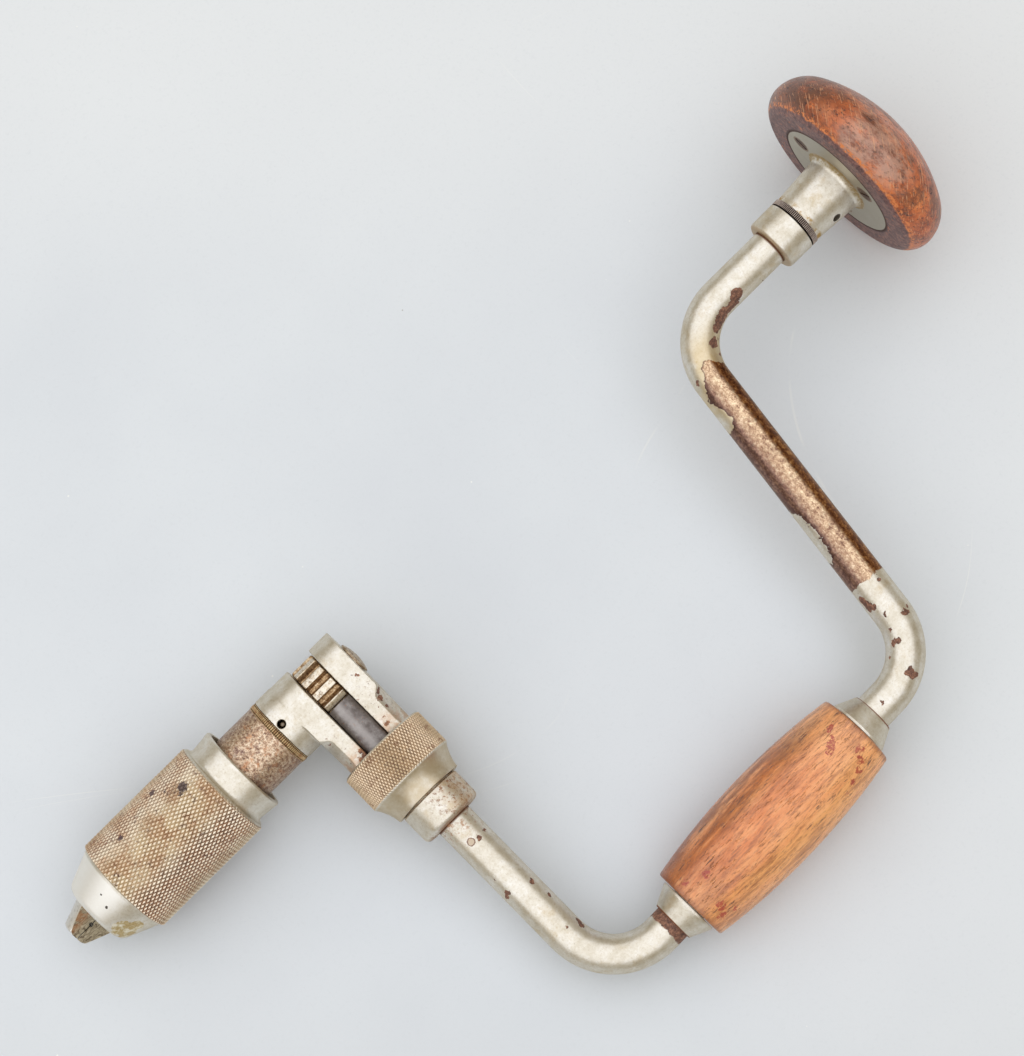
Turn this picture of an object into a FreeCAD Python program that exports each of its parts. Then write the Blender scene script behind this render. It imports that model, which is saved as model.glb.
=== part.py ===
import FreeCAD, Part
import math
import os

# A bit brace, lying along X: its chuck points to -X and its head to +X.
# The crank's bow reaches to -Y, and every bend of the crank lies in the plane z = 0.
# The origin is on the spindle line, at the floor of the jaw slot, where a bit's shank enters its bore.
# Lengths are in millimetres, angles in degrees.

# Fits, how far a cutter runs past what it cuts, and how near two points are one
running_gap = 0.06
passing_gap = 0.3
seam = 0.3
jaw_gap = 0.25
ball_gap = 0.05
overcut = 1.0
same_point = 1e-6

# Chuck jaws
jaw_overhang = 8.2
jaw_length = 49.2
jaw_tip_radius = 4.45
jaw_slope = 0.364
jaw_back_radius = 9.0
jaw_thickness = 7.1
jaw_split = 0.3
jaw_groove_depth = 2.2
jaw_groove_length = 42.0
jaw_hole_radius = 0.75
jaw_hole_from_tip = 6.2
jaw_edge_round = 0.5
jaw_spring_wire_radius = 0.6
jaw_spring_half_width = 5.0
jaw_spring_rise = 2.2
jaw_spring_bend = 1.5
jaw_spring_depth = 1.6
jaw_spring_from_body = 4.0
chuck_turn = 30.0

# Chuck body
body_radius = 11.6
body_thread_radius = 13.2
body_bare_length = 14.3
body_front_from_floor = 15.5
body_chamfer = 0.8
bit_bore_radius = 4.2
bit_bore_depth = 12.0

# Chuck shell and its stop ring
shell_wall = 4.2
shell_nose_length = 12.4
shell_nose_front_radius = 11.24
shell_nose_step = 1.2
shell_nose_round = 2.0
shell_barrel_length = 44.0
shell_barrel_chamfer = 1.0
shell_cove_length = 2.0
shell_cove_depth = 0.8
shell_collar_length = 6.5
shell_collar_step = 1.7
shell_collar_chamfer = 0.5
shell_rear_bore_step = 0.74
shell_rear_bore_depth = 6.6
shell_travel = 11.0
stop_ring_width = 1.2
stop_ring_bite = 0.45
stop_ring_from_rear = 2.0
stop_ring_gap_angle = 20.0

# Hub, ears and journals of the ratchet, along the spindle
thrust_ring_width = 2.2
thrust_ring_radius = 11.8
thrust_ring_seam = 0.12
hub_length = 6.0
hub_radius = 11.9
ear_thickness = 8.0
ear_radius = 11.7
ear_flat_height = 8.4
wheel_slot = 9.2
front_journal_radius = 6.0
rear_journal_radius = 5.0
chuck_ball_radius = 1.5
chuck_ball_clearance = 0.7
oil_hole_radius = 1.4
end_screw_lip = 0.6
end_screw_height = 1.6
end_screw_rim = 0.55
end_screw_shank_radius = 2.0
end_screw_shank_length = 9.0

# Ratchet wheel
wheel_teeth = 12
wheel_radius = 10.3
wheel_tooth_depth = 2.1
wheel_crest_share = 0.45
wheel_floor_share = 0.34
wheel_crest_angle = 8.0
wheel_side_gap = 0.25
wheel_pin_radius = 1.0
wheel_pin_inset = 0.2

# Stem of the yoke, from the ears towards the crank
stem_radius = 12.8
stem_blend_radius = 4.0
stem_shoulder = 3.3
stem_show = 10.5
slot_floor_wall = 2.2
neck_radius = 9.4
leg_socket_depth = 9.0
cross_pin_radius = 1.5

# Selector ring, its detent and the collar below it
selector_wall = 2.8
selector_band_length = 13.0
selector_skirt_length = 8.1
selector_chamfer = 0.7
selector_step = 0.4
selector_foot_wall = 3.0
selector_taper_sag = 0.55
selector_floor_thickness = 2.6
selector_groove_depth = 0.6
selector_groove_width = 2.6
detent_from_floor = 4.0
detent_ball_radius = 1.4
detent_ball_proud = 0.42
detent_hole_depth = 6.4
collar_wall = 1.55
collar_length = 10.7
collar_floor = 2.6
collar_corner_round = 2.5
collar_top_round = 0.4

# Pawls
pawl_thickness = 4.9
pawl_tooth_gap = 0.3
pawl_crest_gap = 0.5
pawl_heel_gap = 2.3
pawl_pin_radius = 1.5
pawl_pin_from_end = 7.7
pawl_lift = 8.0
pawl_spring_radius = 1.6
pawl_spring_from_end = 2.2

# Crank
rod_radius = 6.2
throw_at_chuck = 127.9
throw_at_head = 125.35
bend_radius = 20.5
leg_lean_run = 17.25
rod_before_grip = 12.9
rod_after_grip = 11.15
rod_before_head = 20.3
head_journal_step = 1.2

# Grip and ferrules
grip_length = 74.5
grip_radius = 16.0
grip_end_radius = 12.95
grip_bore_gap = 0.1
ferrule_length = 7.2
ferrule_wide_radius = 10.0
ferrule_lip = 0.75
ferrule_rim = 0.8

# Head
head_collar_length = 9.7
head_collar_radius = 9.15
head_collar_round = 1.5
head_gap = 0.5
lock_ring_width = 2.0
sleeve_length = 17.8
sleeve_front_radius = 8.85
sleeve_rear_radius = 9.9
sleeve_flare = 2.3
flange_radius = 21.7
flange_thickness = 2.2
head_ball_radius = 1.4
head_oil_hole_radius = 1.5
head_oil_hole_place = 8.6
head_oil_hole_angle = 68.0
flange_screw_circle = 16.3
flange_screw_count = 3
flange_screw_phase = 40.0
flange_screw_head_radius = 2.65
flange_screw_shank_radius = 1.5
flange_screw_length = 14.0
flange_screw_point = 3.0
flange_screw_slot_width = 0.8
flange_screw_slot_depth = 0.7
washer_radius = 8.4
washer_thickness = 1.5
nut_width = 13.0
nut_height = 5.0
nut_sides = 6
pad_radius = 34.2
pad_base_radius = 28.9
pad_base_height = 7.1
pad_dome_height = 18.0
pad_edge_radius = 11.5
pad_pocket_room = 0.8
pad_pocket_spare_depth = 4.2

# Stations along the spindle
jaw_tip = -passing_gap - jaw_length
jaw_spring_x = -body_front_from_floor - jaw_spring_from_body
shell_front = jaw_tip + jaw_overhang
nose_end = shell_front + shell_nose_length
barrel_end = nose_end + shell_barrel_length
cove_end = barrel_end + shell_cove_length
shell_rear = cove_end + shell_collar_length
stop_ring_rear = shell_rear - stop_ring_from_rear
stop_ring_front = stop_ring_rear - stop_ring_width
thread_end = stop_ring_front - shell_travel - passing_gap
thrust_front = shell_rear + body_bare_length
thrust_rear = thrust_front + thrust_ring_width
hub_front = thrust_rear + thrust_ring_seam
chuck_ball_x = hub_front + passing_gap + ball_gap + chuck_ball_radius
ear_front = hub_front + hub_length
slot_front = ear_front + ear_thickness
slot_rear = slot_front + wheel_slot
ear_rear = slot_rear + ear_thickness
journal_end = ear_rear + wheel_side_gap
yoke_x = (slot_front + slot_rear) / 2
grip_middle_x = yoke_x + bend_radius + rod_before_grip + grip_length / 2
leg_bottom_x = grip_middle_x + grip_length / 2 + rod_after_grip + bend_radius
leg_top_x = leg_bottom_x + leg_lean_run
collar_front = leg_top_x + bend_radius + rod_before_head
collar_rear = collar_front + head_collar_length
lock_ring_front = collar_rear + head_gap
sleeve_front = lock_ring_front + lock_ring_width
head_ball_x = sleeve_front + ball_gap + head_ball_radius
flange_front = sleeve_front + sleeve_length
flange_rear = flange_front + flange_thickness
washer_front = flange_rear + passing_gap
nut_front = washer_front + washer_thickness
nut_rear = nut_front + nut_height
pad_middle = flange_front + pad_base_height

# Distances out from the spindle, along the yoke's stem
stem_top = ear_radius + stem_shoulder
selector_top = stem_top + stem_show
band_end = selector_top + selector_band_length
selector_foot = band_end + selector_skirt_length
selector_floor = selector_foot - selector_floor_thickness
detent_place = selector_floor - detent_from_floor
stem_end = selector_floor - passing_gap
slot_foot = stem_end - slot_floor_wall
pawl_end = slot_foot - passing_gap
pawl_pin_place = pawl_end - pawl_pin_from_end
pawl_spring_place = pawl_end - pawl_spring_from_end
collar_top = selector_foot + seam
collar_end = collar_top + collar_length
neck_end = collar_end - collar_floor
leg_socket_floor = neck_end - leg_socket_depth
cross_pin_place = (leg_socket_floor + neck_end) / 2

# Radii and heights that follow from what a piece fits
shell_bore_radius = body_thread_radius + running_gap
shell_radius = body_thread_radius + shell_wall
shell_collar_radius = shell_radius - shell_collar_step
shell_rear_bore_radius = shell_bore_radius + shell_rear_bore_step
stop_ring_radius = shell_rear_bore_radius + stop_ring_bite
chuck_ball_circle = front_journal_radius + chuck_ball_clearance + chuck_ball_radius
wheel_root_radius = wheel_radius - wheel_tooth_depth
wheel_pitch = 360 / wheel_teeth
wheel_mouth_turn = math.radians(wheel_pitch * (1 - wheel_crest_share) / 2)
wheel_floor_half = math.radians(wheel_pitch) * wheel_floor_share / 2 * wheel_root_radius
wheel_mouth_half = wheel_radius * math.sin(wheel_mouth_turn)
wheel_mouth_height = wheel_radius * math.cos(wheel_mouth_turn)
end_screw_radius = rear_journal_radius + end_screw_lip
selector_bore_radius = stem_radius + running_gap
selector_radius = stem_radius + selector_wall
collar_radius = neck_radius + collar_wall
pawl_outer_height = ear_flat_height - passing_gap
pawl_inner_height = pawl_outer_height - pawl_thickness
pawl_pin_height = pawl_outer_height - pawl_thickness / 2
head_journal_radius = rod_radius - head_journal_step
head_ball_circle = head_journal_radius + ball_gap + head_ball_radius
pad_pocket_radius = washer_radius + pad_pocket_room

# The grip's line runs from the foot of one leg to the foot of the other.
grip_slope = (throw_at_head - throw_at_chuck) / (leg_bottom_x - yoke_x)
grip_lean = math.degrees(math.atan(grip_slope))
grip_throw = throw_at_chuck + grip_slope * (grip_middle_x - yoke_x)

x_axis = FreeCAD.Vector(1, 0, 0)
z_axis = FreeCAD.Vector(0, 0, 1)


def spot(x, y, z=0.0):
    """A point in space."""
    return FreeCAD.Vector(x, y, z)


def bow_side(x, out, z=0.0):
    """A point at a distance out from the spindle line, on the bow's side."""
    return spot(x, -out, z)


def round_spindle(angle, radius=1.0, x=0.0):
    """A point at a radius from the spindle line; the angle runs from +Z towards the bow."""
    turn = math.radians(angle)
    return bow_side(x, radius * math.sin(turn), radius * math.cos(turn))


def half_chord(radius, away):
    """Half the width of a circle at a distance away from its middle."""
    return math.sqrt(radius ** 2 - away ** 2)


def closed_face(*steps):
    """A flat face. A step is a point, or a pair of points: one on the way of an arc, and its end."""
    edges = []
    here = steps[0]
    for step in steps[1:] + (steps[0],):
        if isinstance(step, tuple):
            edges.append(Part.Arc(here, step[0], step[1]).toShape())
            here = step[1]
        elif (step - here).Length > same_point:
            edges.append(Part.makeLine(here, step))
            here = step
    return Part.Face(Part.Wire(edges))


def arc(x, y, radius, start, end):
    """Two steps for closed_face: an arc's first point, and the arc. Angles run from +X towards +Y."""
    points = []
    for angle in (start, (start + end) / 2, end):
        turn = math.radians(angle)
        points.append(spot(x + radius * math.cos(turn), y + radius * math.sin(turn)))
    return points[0], (points[1], points[2])


def turned(*steps):
    """A turned piece about the X axis, from the outline of its half section."""
    return closed_face(*steps).revolve(spot(0, 0), x_axis, 360)


def round_bar(radius, start, end):
    """A round bar between two points."""
    way = end - start
    return Part.makeCylinder(radius, way.Length, start, way)


def spindle_bar(radius, start_x, end_x):
    """A round bar on the spindle line between two stations."""
    return round_bar(radius, spot(start_x, 0), spot(end_x, 0))


def block(x, y, z):
    """A block from its (low, high) limits along each axis."""
    corner = spot(x[0], y[0], z[0])
    return Part.makeBox(x[1] - x[0], y[1] - y[0], z[1] - z[0], corner)


def drilled(shape, *cutters):
    """The shape with each cutter taken away."""
    for cutter in cutters:
        shape = shape.cut(cutter)
    return shape


def on_yoke_axis(shape):
    """Moves a piece built along X onto the yoke's axis, where x becomes the distance out."""
    shape.rotate(spot(0, 0), z_axis, -90)
    shape.translate(spot(yoke_x, 0))
    return shape


def on_grip_axis(shape):
    """Moves a piece built along X, about the grip's middle, onto the grip's line."""
    shape.rotate(spot(0, 0), z_axis, -grip_lean)
    shape.translate(bow_side(grip_middle_x, grip_throw))
    return shape


def turned_with_chuck(shape):
    """Turns a piece built with its flats level to the chuck's resting angle."""
    shape.rotate(spot(0, 0), x_axis, chuck_turn)
    return shape


def bent_rod(corners, radius, bend):
    """A round rod through the corners, each rounded to the same bend radius."""
    edges = []
    here = corners[0]
    for before, corner, after in zip(corners, corners[1:], corners[2:]):
        coming = (before - corner).normalize()
        going = (after - corner).normalize()
        half = coming.getAngle(going) / 2
        reach = bend / math.tan(half)
        start = corner + coming * reach
        end = corner + going * reach
        middle_way = (coming + going).normalize()
        middle = corner + middle_way * (bend / math.sin(half) - bend)
        edges.append(Part.makeLine(here, start))
        edges.append(Part.Arc(start, middle, end).toShape())
        here = end
    edges.append(Part.makeLine(here, corners[-1]))
    path = Part.Wire(edges)
    way = (corners[1] - corners[0]).normalize()
    section = Part.Face(Part.Wire(Part.makeCircle(radius, corners[0], way)))
    return path.makePipe(section)


def ball_ring(radius, circle, x):
    """As many balls as fit side by side on a circle about the spindle line."""
    count = int(math.pi / math.asin((radius + ball_gap / 2) / circle))
    middles = [round_spindle(360 * number / count, circle, x) for number in range(count)]
    return Part.makeCompound([Part.makeSphere(radius, middle) for middle in middles])


# Chuck

def make_jaw(side):
    """One jaw: a wedge of a cone with two flats, grooved inside for the bit's square tang."""
    shoulder = jaw_tip + (jaw_back_radius - jaw_tip_radius) / jaw_slope
    rear = jaw_tip + jaw_length
    cone = turned(
        spot(jaw_tip, 0),
        spot(jaw_tip, jaw_tip_radius - jaw_edge_round),
        spot(jaw_tip + jaw_edge_round, jaw_tip_radius + jaw_edge_round * jaw_slope),
        spot(shoulder, jaw_back_radius),
        spot(rear, jaw_back_radius),
        spot(rear, 0),
    )
    half = jaw_thickness / 2
    jaw = cone.common(block((jaw_tip, rear), (jaw_split / 2, jaw_back_radius), (-half, half)))
    groove = closed_face(
        spot(jaw_tip, jaw_groove_depth, 0),
        spot(jaw_tip, 0, jaw_groove_depth),
        spot(jaw_tip, -jaw_groove_depth, 0),
        spot(jaw_tip, 0, -jaw_groove_depth),
    ).extrude(spot(jaw_groove_length, 0))
    hole_x = jaw_tip + jaw_hole_from_tip
    hole = round_bar(jaw_hole_radius, spot(hole_x, 0, -jaw_thickness), spot(hole_x, 0, jaw_thickness))
    jaw = drilled(jaw, groove, hole)
    if side < 0:
        jaw.rotate(spot(0, 0), x_axis, 180)
    spring_hole = round_bar(
        jaw_spring_wire_radius + running_gap,
        spot(jaw_spring_x, side * jaw_spring_half_width, half - jaw_spring_depth - running_gap),
        spot(jaw_spring_x, side * jaw_spring_half_width, half + overcut),
    )
    return turned_with_chuck(jaw.cut(spring_hole))


def make_jaw_spring():
    """The bow of spring wire that spreads the jaws; its ends sit in a hole in each jaw's flat."""
    low = jaw_thickness / 2 - jaw_spring_depth
    high = jaw_thickness / 2 + jaw_spring_rise
    corners = [
        spot(jaw_spring_x, -jaw_spring_half_width, low),
        spot(jaw_spring_x, -jaw_spring_half_width, high),
        spot(jaw_spring_x, jaw_spring_half_width, high),
        spot(jaw_spring_x, jaw_spring_half_width, low),
    ]
    return turned_with_chuck(bent_rod(corners, jaw_spring_wire_radius, jaw_spring_bend))


def make_chuck_body():
    """The chuck body: slotted thread, bare waist, journals for the yoke, and the bit's bore."""
    front = -body_front_from_floor
    wheel_rear = slot_rear - wheel_side_gap
    body = turned(
        spot(front, 0),
        spot(front, body_thread_radius - body_chamfer),
        spot(front + body_chamfer, body_thread_radius),
        spot(thread_end - body_chamfer, body_thread_radius),
        spot(thread_end, body_thread_radius - body_chamfer),
        spot(thread_end, body_radius),
        spot(thrust_front, body_radius),
        spot(thrust_front, front_journal_radius),
        spot(wheel_rear, front_journal_radius),
        spot(wheel_rear, rear_journal_radius),
        spot(journal_end, rear_journal_radius),
        spot(journal_end, 0),
    )
    half_slot = jaw_thickness / 2 + running_gap
    far = body_thread_radius + overcut
    slot = block((front - overcut, 0), (-far, far), (-half_slot, half_slot))
    entry = spindle_bar(bit_bore_radius + passing_gap, front - overcut, 0)
    bore = spindle_bar(bit_bore_radius, -overcut, bit_bore_depth)
    screw_end = journal_end - end_screw_shank_length
    screw_hole = spindle_bar(end_screw_shank_radius, screw_end, journal_end + overcut)
    body = turned_with_chuck(drilled(body, slot, entry, bore, screw_hole))
    return body.cut(make_wheel_pin())


def make_end_screw():
    """The screw with a domed head that keeps the chuck body in the rear ear."""
    rise = end_screw_height - end_screw_rim
    dome_radius = (end_screw_radius ** 2 + rise ** 2) / (2 * rise)
    dome_x = journal_end + end_screw_height - dome_radius
    dome_turn = math.degrees(math.asin(end_screw_radius / dome_radius))
    return turned(
        spot(journal_end - end_screw_shank_length, 0),
        spot(journal_end - end_screw_shank_length, end_screw_shank_radius),
        spot(journal_end, end_screw_shank_radius),
        spot(journal_end, end_screw_radius),
        *arc(dome_x, 0, dome_radius, dome_turn, 0),
    )


def make_chuck_shell():
    """The shell: cone nose, barrel, cove and rear collar outside; jaw cone and thread bore inside."""
    mouth_radius = jaw_tip_radius + jaw_overhang * jaw_slope + jaw_gap * math.hypot(1, jaw_slope)
    cone_end = shell_front + (shell_bore_radius - mouth_radius) / jaw_slope
    nose_slope = (shell_radius - shell_nose_step - shell_nose_front_radius) / shell_nose_length
    round_y = shell_nose_front_radius + shell_nose_round * (nose_slope - math.hypot(1, nose_slope))
    nose_angle = 90 + math.degrees(math.atan(nose_slope))
    rear_bore = shell_rear - shell_rear_bore_depth
    groove_front = stop_ring_front - seam / 2
    groove_rear = stop_ring_rear + seam / 2
    groove_radius = stop_ring_radius + passing_gap
    return turned(
        spot(shell_front, mouth_radius),
        *arc(shell_front + shell_nose_round, round_y, shell_nose_round, 180, nose_angle),
        spot(nose_end, shell_radius - shell_nose_step),
        spot(nose_end + shell_barrel_chamfer, shell_radius),
        spot(barrel_end - shell_barrel_chamfer, shell_radius),
        spot(barrel_end, shell_radius - shell_barrel_chamfer),
        (
            spot((barrel_end + cove_end) / 2, shell_collar_radius - shell_cove_depth),
            spot(cove_end, shell_collar_radius),
        ),
        spot(shell_rear - shell_collar_chamfer, shell_collar_radius),
        spot(shell_rear, shell_collar_radius - shell_collar_chamfer),
        spot(shell_rear, shell_rear_bore_radius),
        spot(groove_rear, shell_rear_bore_radius),
        spot(groove_rear, groove_radius),
        spot(groove_front, groove_radius),
        spot(groove_front, shell_rear_bore_radius),
        spot(rear_bore, shell_rear_bore_radius),
        spot(rear_bore, shell_bore_radius),
        spot(cone_end, shell_bore_radius),
    )


def make_stop_ring():
    """The split ring inside the shell's rear collar that stops the shell at the end of its thread."""
    inner_radius = body_radius + passing_gap
    ring = turned(
        spot(stop_ring_front, inner_radius),
        spot(stop_ring_front, stop_ring_radius),
        spot(stop_ring_rear, stop_ring_radius),
        spot(stop_ring_rear, inner_radius),
    )
    half_gap = stop_ring_radius * math.sin(math.radians(stop_ring_gap_angle / 2))
    along = (stop_ring_front - overcut, stop_ring_rear + overcut)
    return ring.cut(block(along, (-half_gap, half_gap), (-stop_ring_radius - overcut, 0)))


# Ratchet

def make_thrust_ring():
    """The ring that carries the bit's thrust from the chuck body to the hub's balls."""
    nose = hub_front + passing_gap
    nose_radius = chuck_ball_circle + chuck_ball_radius
    return turned(
        spot(thrust_front, front_journal_radius),
        spot(thrust_front, thrust_ring_radius),
        spot(thrust_rear, thrust_ring_radius),
        spot(thrust_rear, nose_radius),
        spot(nose, nose_radius),
        spot(nose, front_journal_radius),
    )


def make_chuck_balls():
    """The ring of balls between the thrust ring's nose and the hub's race."""
    return ball_ring(chuck_ball_radius, chuck_ball_circle, chuck_ball_x)


def wheel_gap_angle(number):
    """The angle of one of the wheel's gaps, from +Z towards the bow."""
    return wheel_crest_angle + wheel_pitch * (number + 0.5)


def make_ratchet_wheel():
    """The ratchet wheel: straight teeth with flat crests, bored for the chuck body's journal."""
    front = slot_front + wheel_side_gap
    rear = slot_rear - wheel_side_gap
    wheel = spindle_bar(wheel_radius, front, rear)
    flare = (wheel_mouth_half - wheel_floor_half) / (wheel_mouth_height - wheel_root_radius)
    top_z = wheel_radius + overcut
    top_y = wheel_floor_half + flare * (top_z - wheel_root_radius)
    gap = closed_face(
        spot(front - overcut, -wheel_floor_half, wheel_root_radius),
        spot(front - overcut, -top_y, top_z),
        spot(front - overcut, top_y, top_z),
        spot(front - overcut, wheel_floor_half, wheel_root_radius),
    ).extrude(spot(rear - front + 2 * overcut, 0))
    for number in range(wheel_teeth):
        cutter = gap.copy()
        cutter.rotate(spot(0, 0), x_axis, wheel_gap_angle(number))
        wheel = wheel.cut(cutter)
    bore = spindle_bar(front_journal_radius, front - overcut, rear + overcut)
    return drilled(wheel, bore, make_wheel_pin())


def make_wheel_pin():
    """The pin through the wheel and the journal, ending in two of the wheel's gaps."""
    angle = wheel_gap_angle(2)
    reach = wheel_root_radius - wheel_pin_inset
    return round_bar(
        wheel_pin_radius,
        round_spindle(angle, -reach, yoke_x),
        round_spindle(angle, reach, yoke_x),
    )


def make_yoke():
    """The ratchet yoke: hub, two round-ended ears, and a stem that is turned below them."""
    flat_start = half_chord(ear_radius, ear_flat_height)
    ears = closed_face(
        bow_side(ear_front, flat_start, ear_flat_height),
        (bow_side(ear_front, -ear_radius), bow_side(ear_front, flat_start, -ear_flat_height)),
        bow_side(ear_front, stem_end, -ear_flat_height),
        bow_side(ear_front, stem_end, ear_flat_height),
    ).extrude(spot(ear_rear - ear_front, 0))
    blend_start = stem_top - stem_blend_radius
    wide = 2 * (stem_radius + ear_thickness)
    limits = on_yoke_axis(turned(
        spot(-2 * ear_radius, 0),
        spot(-2 * ear_radius, wide),
        spot(blend_start, wide),
        *arc(stem_top, stem_radius + stem_blend_radius, stem_blend_radius, 180, 270),
        spot(stem_end, stem_radius),
        spot(stem_end, 0),
    ))
    ears = ears.common(limits)
    neck = round_bar(neck_radius, bow_side(yoke_x, slot_foot), bow_side(yoke_x, neck_end))
    hub = spindle_bar(hub_radius, hub_front, ear_front + overcut)
    yoke = ears.fuse([neck, hub])
    far = 2 * ear_radius
    slot = block((slot_front, slot_rear), (-slot_foot, far), (-far, far))
    front_bore = spindle_bar(front_journal_radius + running_gap, hub_front - overcut, slot_front + overcut)
    rear_bore = spindle_bar(rear_journal_radius + running_gap, slot_rear - overcut, ear_rear + overcut)
    race_floor = chuck_ball_x + chuck_ball_radius + ball_gap
    race_radius = chuck_ball_circle + chuck_ball_radius + passing_gap
    race = spindle_bar(race_radius, hub_front - overcut, race_floor)
    oil_hole = round_bar(oil_hole_radius, spot(chuck_ball_x, 0), spot(chuck_ball_x, 0, 2 * hub_radius))
    socket = round_bar(rod_radius, bow_side(yoke_x, leg_socket_floor), bow_side(yoke_x, neck_end + overcut))
    yoke = drilled(yoke, slot, front_bore, rear_bore, race, oil_hole, socket)
    return drilled(yoke, make_pawl_pins(), make_cross_pin(), detent_hole())


def detent_hole():
    """The blind hole in the stem's rear cheek that holds the detent ball and its spring."""
    rear = yoke_x + stem_radius
    return round_bar(
        detent_ball_radius + running_gap,
        bow_side(rear - detent_hole_depth, detent_place),
        bow_side(rear + overcut, detent_place),
    )


def make_detent_ball():
    """The ball that clicks into the selector ring's groove."""
    middle_x = yoke_x + stem_radius + detent_ball_proud - detent_ball_radius
    return Part.makeSphere(detent_ball_radius, bow_side(middle_x, detent_place))


def make_detent_spring():
    """The spring behind the detent ball, a plain bar of its outer shape."""
    ball_back = yoke_x + stem_radius + detent_ball_proud - 2 * detent_ball_radius
    return round_bar(
        detent_ball_radius - running_gap,
        bow_side(yoke_x + stem_radius - detent_hole_depth, detent_place),
        bow_side(ball_back - ball_gap, detent_place),
    )


def make_cross_pin():
    """The pin that holds the lower leg in the yoke's neck, hidden under the ring collar."""
    reach = half_chord(neck_radius, cross_pin_radius) - ball_gap
    return round_bar(
        cross_pin_radius,
        bow_side(yoke_x - reach, cross_pin_place),
        bow_side(yoke_x + reach, cross_pin_place),
    )


def make_pawl_pins():
    """The two pins, above and below, that the pawls rock on."""
    half = half_chord(stem_radius, pawl_pin_height + pawl_pin_radius) - passing_gap
    pins = []
    for height in (pawl_pin_height, -pawl_pin_height):
        start = bow_side(yoke_x - half, pawl_pin_place, height)
        end = bow_side(yoke_x + half, pawl_pin_place, height)
        pins.append(round_bar(pawl_pin_radius, start, end))
    return Part.makeCompound(pins)


def make_pawl():
    """The upper pawl, engaged: a bar bored for its pin, whose nose drops into a gap of the wheel.

    The nose has a face square to its lift, so that it leaves the gap past the near tooth's edge.
    """
    front = slot_front + wheel_side_gap
    width = wheel_slot - 2 * wheel_side_gap
    along = round_spindle(wheel_gap_angle(1))
    across = round_spindle(wheel_gap_angle(1) + 90)
    near_edge = along * wheel_mouth_height - across * wheel_mouth_half
    far_edge = along * wheel_mouth_height + across * wheel_mouth_half
    far_floor = along * wheel_root_radius + across * wheel_floor_half
    wall_slope = (far_edge.z - far_floor.z) / (far_floor.y - far_edge.y)
    face_out = pawl_tooth_gap - near_edge.y
    tip_z = far_floor.z + wall_slope * (face_out + far_floor.y) + pawl_tooth_gap * math.hypot(1, wall_slope)
    crest = far_edge * ((wheel_radius + pawl_crest_gap) / wheel_radius)
    heel = half_chord(wheel_radius + pawl_heel_gap, pawl_inner_height)
    pawl = closed_face(
        bow_side(front, pawl_end, pawl_outer_height),
        bow_side(front, face_out, pawl_outer_height),
        bow_side(front, face_out, tip_z),
        bow_side(front, -crest.y, crest.z),
        bow_side(front, heel, pawl_inner_height),
        bow_side(front, pawl_end, pawl_inner_height),
    ).extrude(spot(width, 0))
    bore = round_bar(
        pawl_pin_radius + running_gap,
        bow_side(front - overcut, pawl_pin_place, pawl_pin_height),
        bow_side(front + width + overcut, pawl_pin_place, pawl_pin_height),
    )
    return pawl.cut(bore)


def make_lower_pawl():
    """The pawl below, the upper one's mirror image, lifted off the wheel."""
    pawl = make_pawl().mirror(spot(0, 0), z_axis)
    pawl.rotate(bow_side(yoke_x, pawl_pin_place, -pawl_pin_height), x_axis, -pawl_lift)
    return pawl


def make_pawl_spring():
    """The spring that spreads the pawls' tails, a plain bar of its outer shape."""
    lift = math.sin(math.radians(pawl_lift))
    tail = pawl_spring_place - pawl_pin_place + pawl_spring_radius
    foot = lift * tail - pawl_inner_height + seam
    return round_bar(
        pawl_spring_radius,
        bow_side(yoke_x, pawl_spring_place, foot),
        bow_side(yoke_x, pawl_spring_place, pawl_inner_height - seam),
    )


def make_selector():
    """The selector ring: a knurled band over a hollow-sided skirt, turned on the yoke's stem."""
    skirt_start = band_end + selector_step
    skirt_radius = selector_radius - selector_step
    foot_radius = neck_radius + selector_foot_wall
    hollow = spot((skirt_start + selector_foot) / 2, (skirt_radius + foot_radius) / 2 - selector_taper_sag)
    foot_bore = neck_radius + running_gap
    groove_radius = selector_bore_radius + selector_groove_depth
    groove_low = detent_place - selector_groove_width / 2
    groove_high = detent_place + selector_groove_width / 2
    return on_yoke_axis(turned(
        spot(selector_top, selector_bore_radius),
        spot(selector_top, selector_radius - selector_chamfer),
        spot(selector_top + selector_chamfer, selector_radius),
        spot(band_end, selector_radius),
        spot(skirt_start, skirt_radius),
        (hollow, spot(selector_foot, foot_radius)),
        spot(selector_foot, foot_bore),
        spot(selector_floor, foot_bore),
        spot(selector_floor, selector_bore_radius),
        spot(groove_high, selector_bore_radius),
        spot(groove_high, groove_radius),
        spot(groove_low, groove_radius),
        spot(groove_low, selector_bore_radius),
    ))


def make_ring_collar():
    """The collar that keeps the selector ring on the yoke, pressed over neck and leg."""
    corner_x = collar_end - collar_corner_round
    corner_y = collar_radius - collar_corner_round
    return on_yoke_axis(turned(
        spot(collar_top, neck_radius),
        spot(collar_top, collar_radius - collar_top_round),
        spot(collar_top + collar_top_round, collar_radius),
        *arc(corner_x, corner_y, collar_corner_round, 90, 0),
        spot(collar_end, rod_radius),
        spot(neck_end, rod_radius),
        spot(neck_end, neck_radius),
    ))


# Crank and grip

def make_crank():
    """The crank: one round rod with three bends, turned down at the head end to a journal."""
    corners = [
        bow_side(yoke_x, leg_socket_floor),
        bow_side(yoke_x, throw_at_chuck),
        bow_side(leg_bottom_x, throw_at_head),
        bow_side(leg_top_x, 0),
        bow_side(collar_rear, 0),
    ]
    rod = bent_rod(corners, rod_radius, bend_radius)
    journal = spindle_bar(head_journal_radius, collar_rear - overcut, nut_rear)
    return drilled(rod.fuse(journal).removeSplitter(), make_cross_pin())


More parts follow.
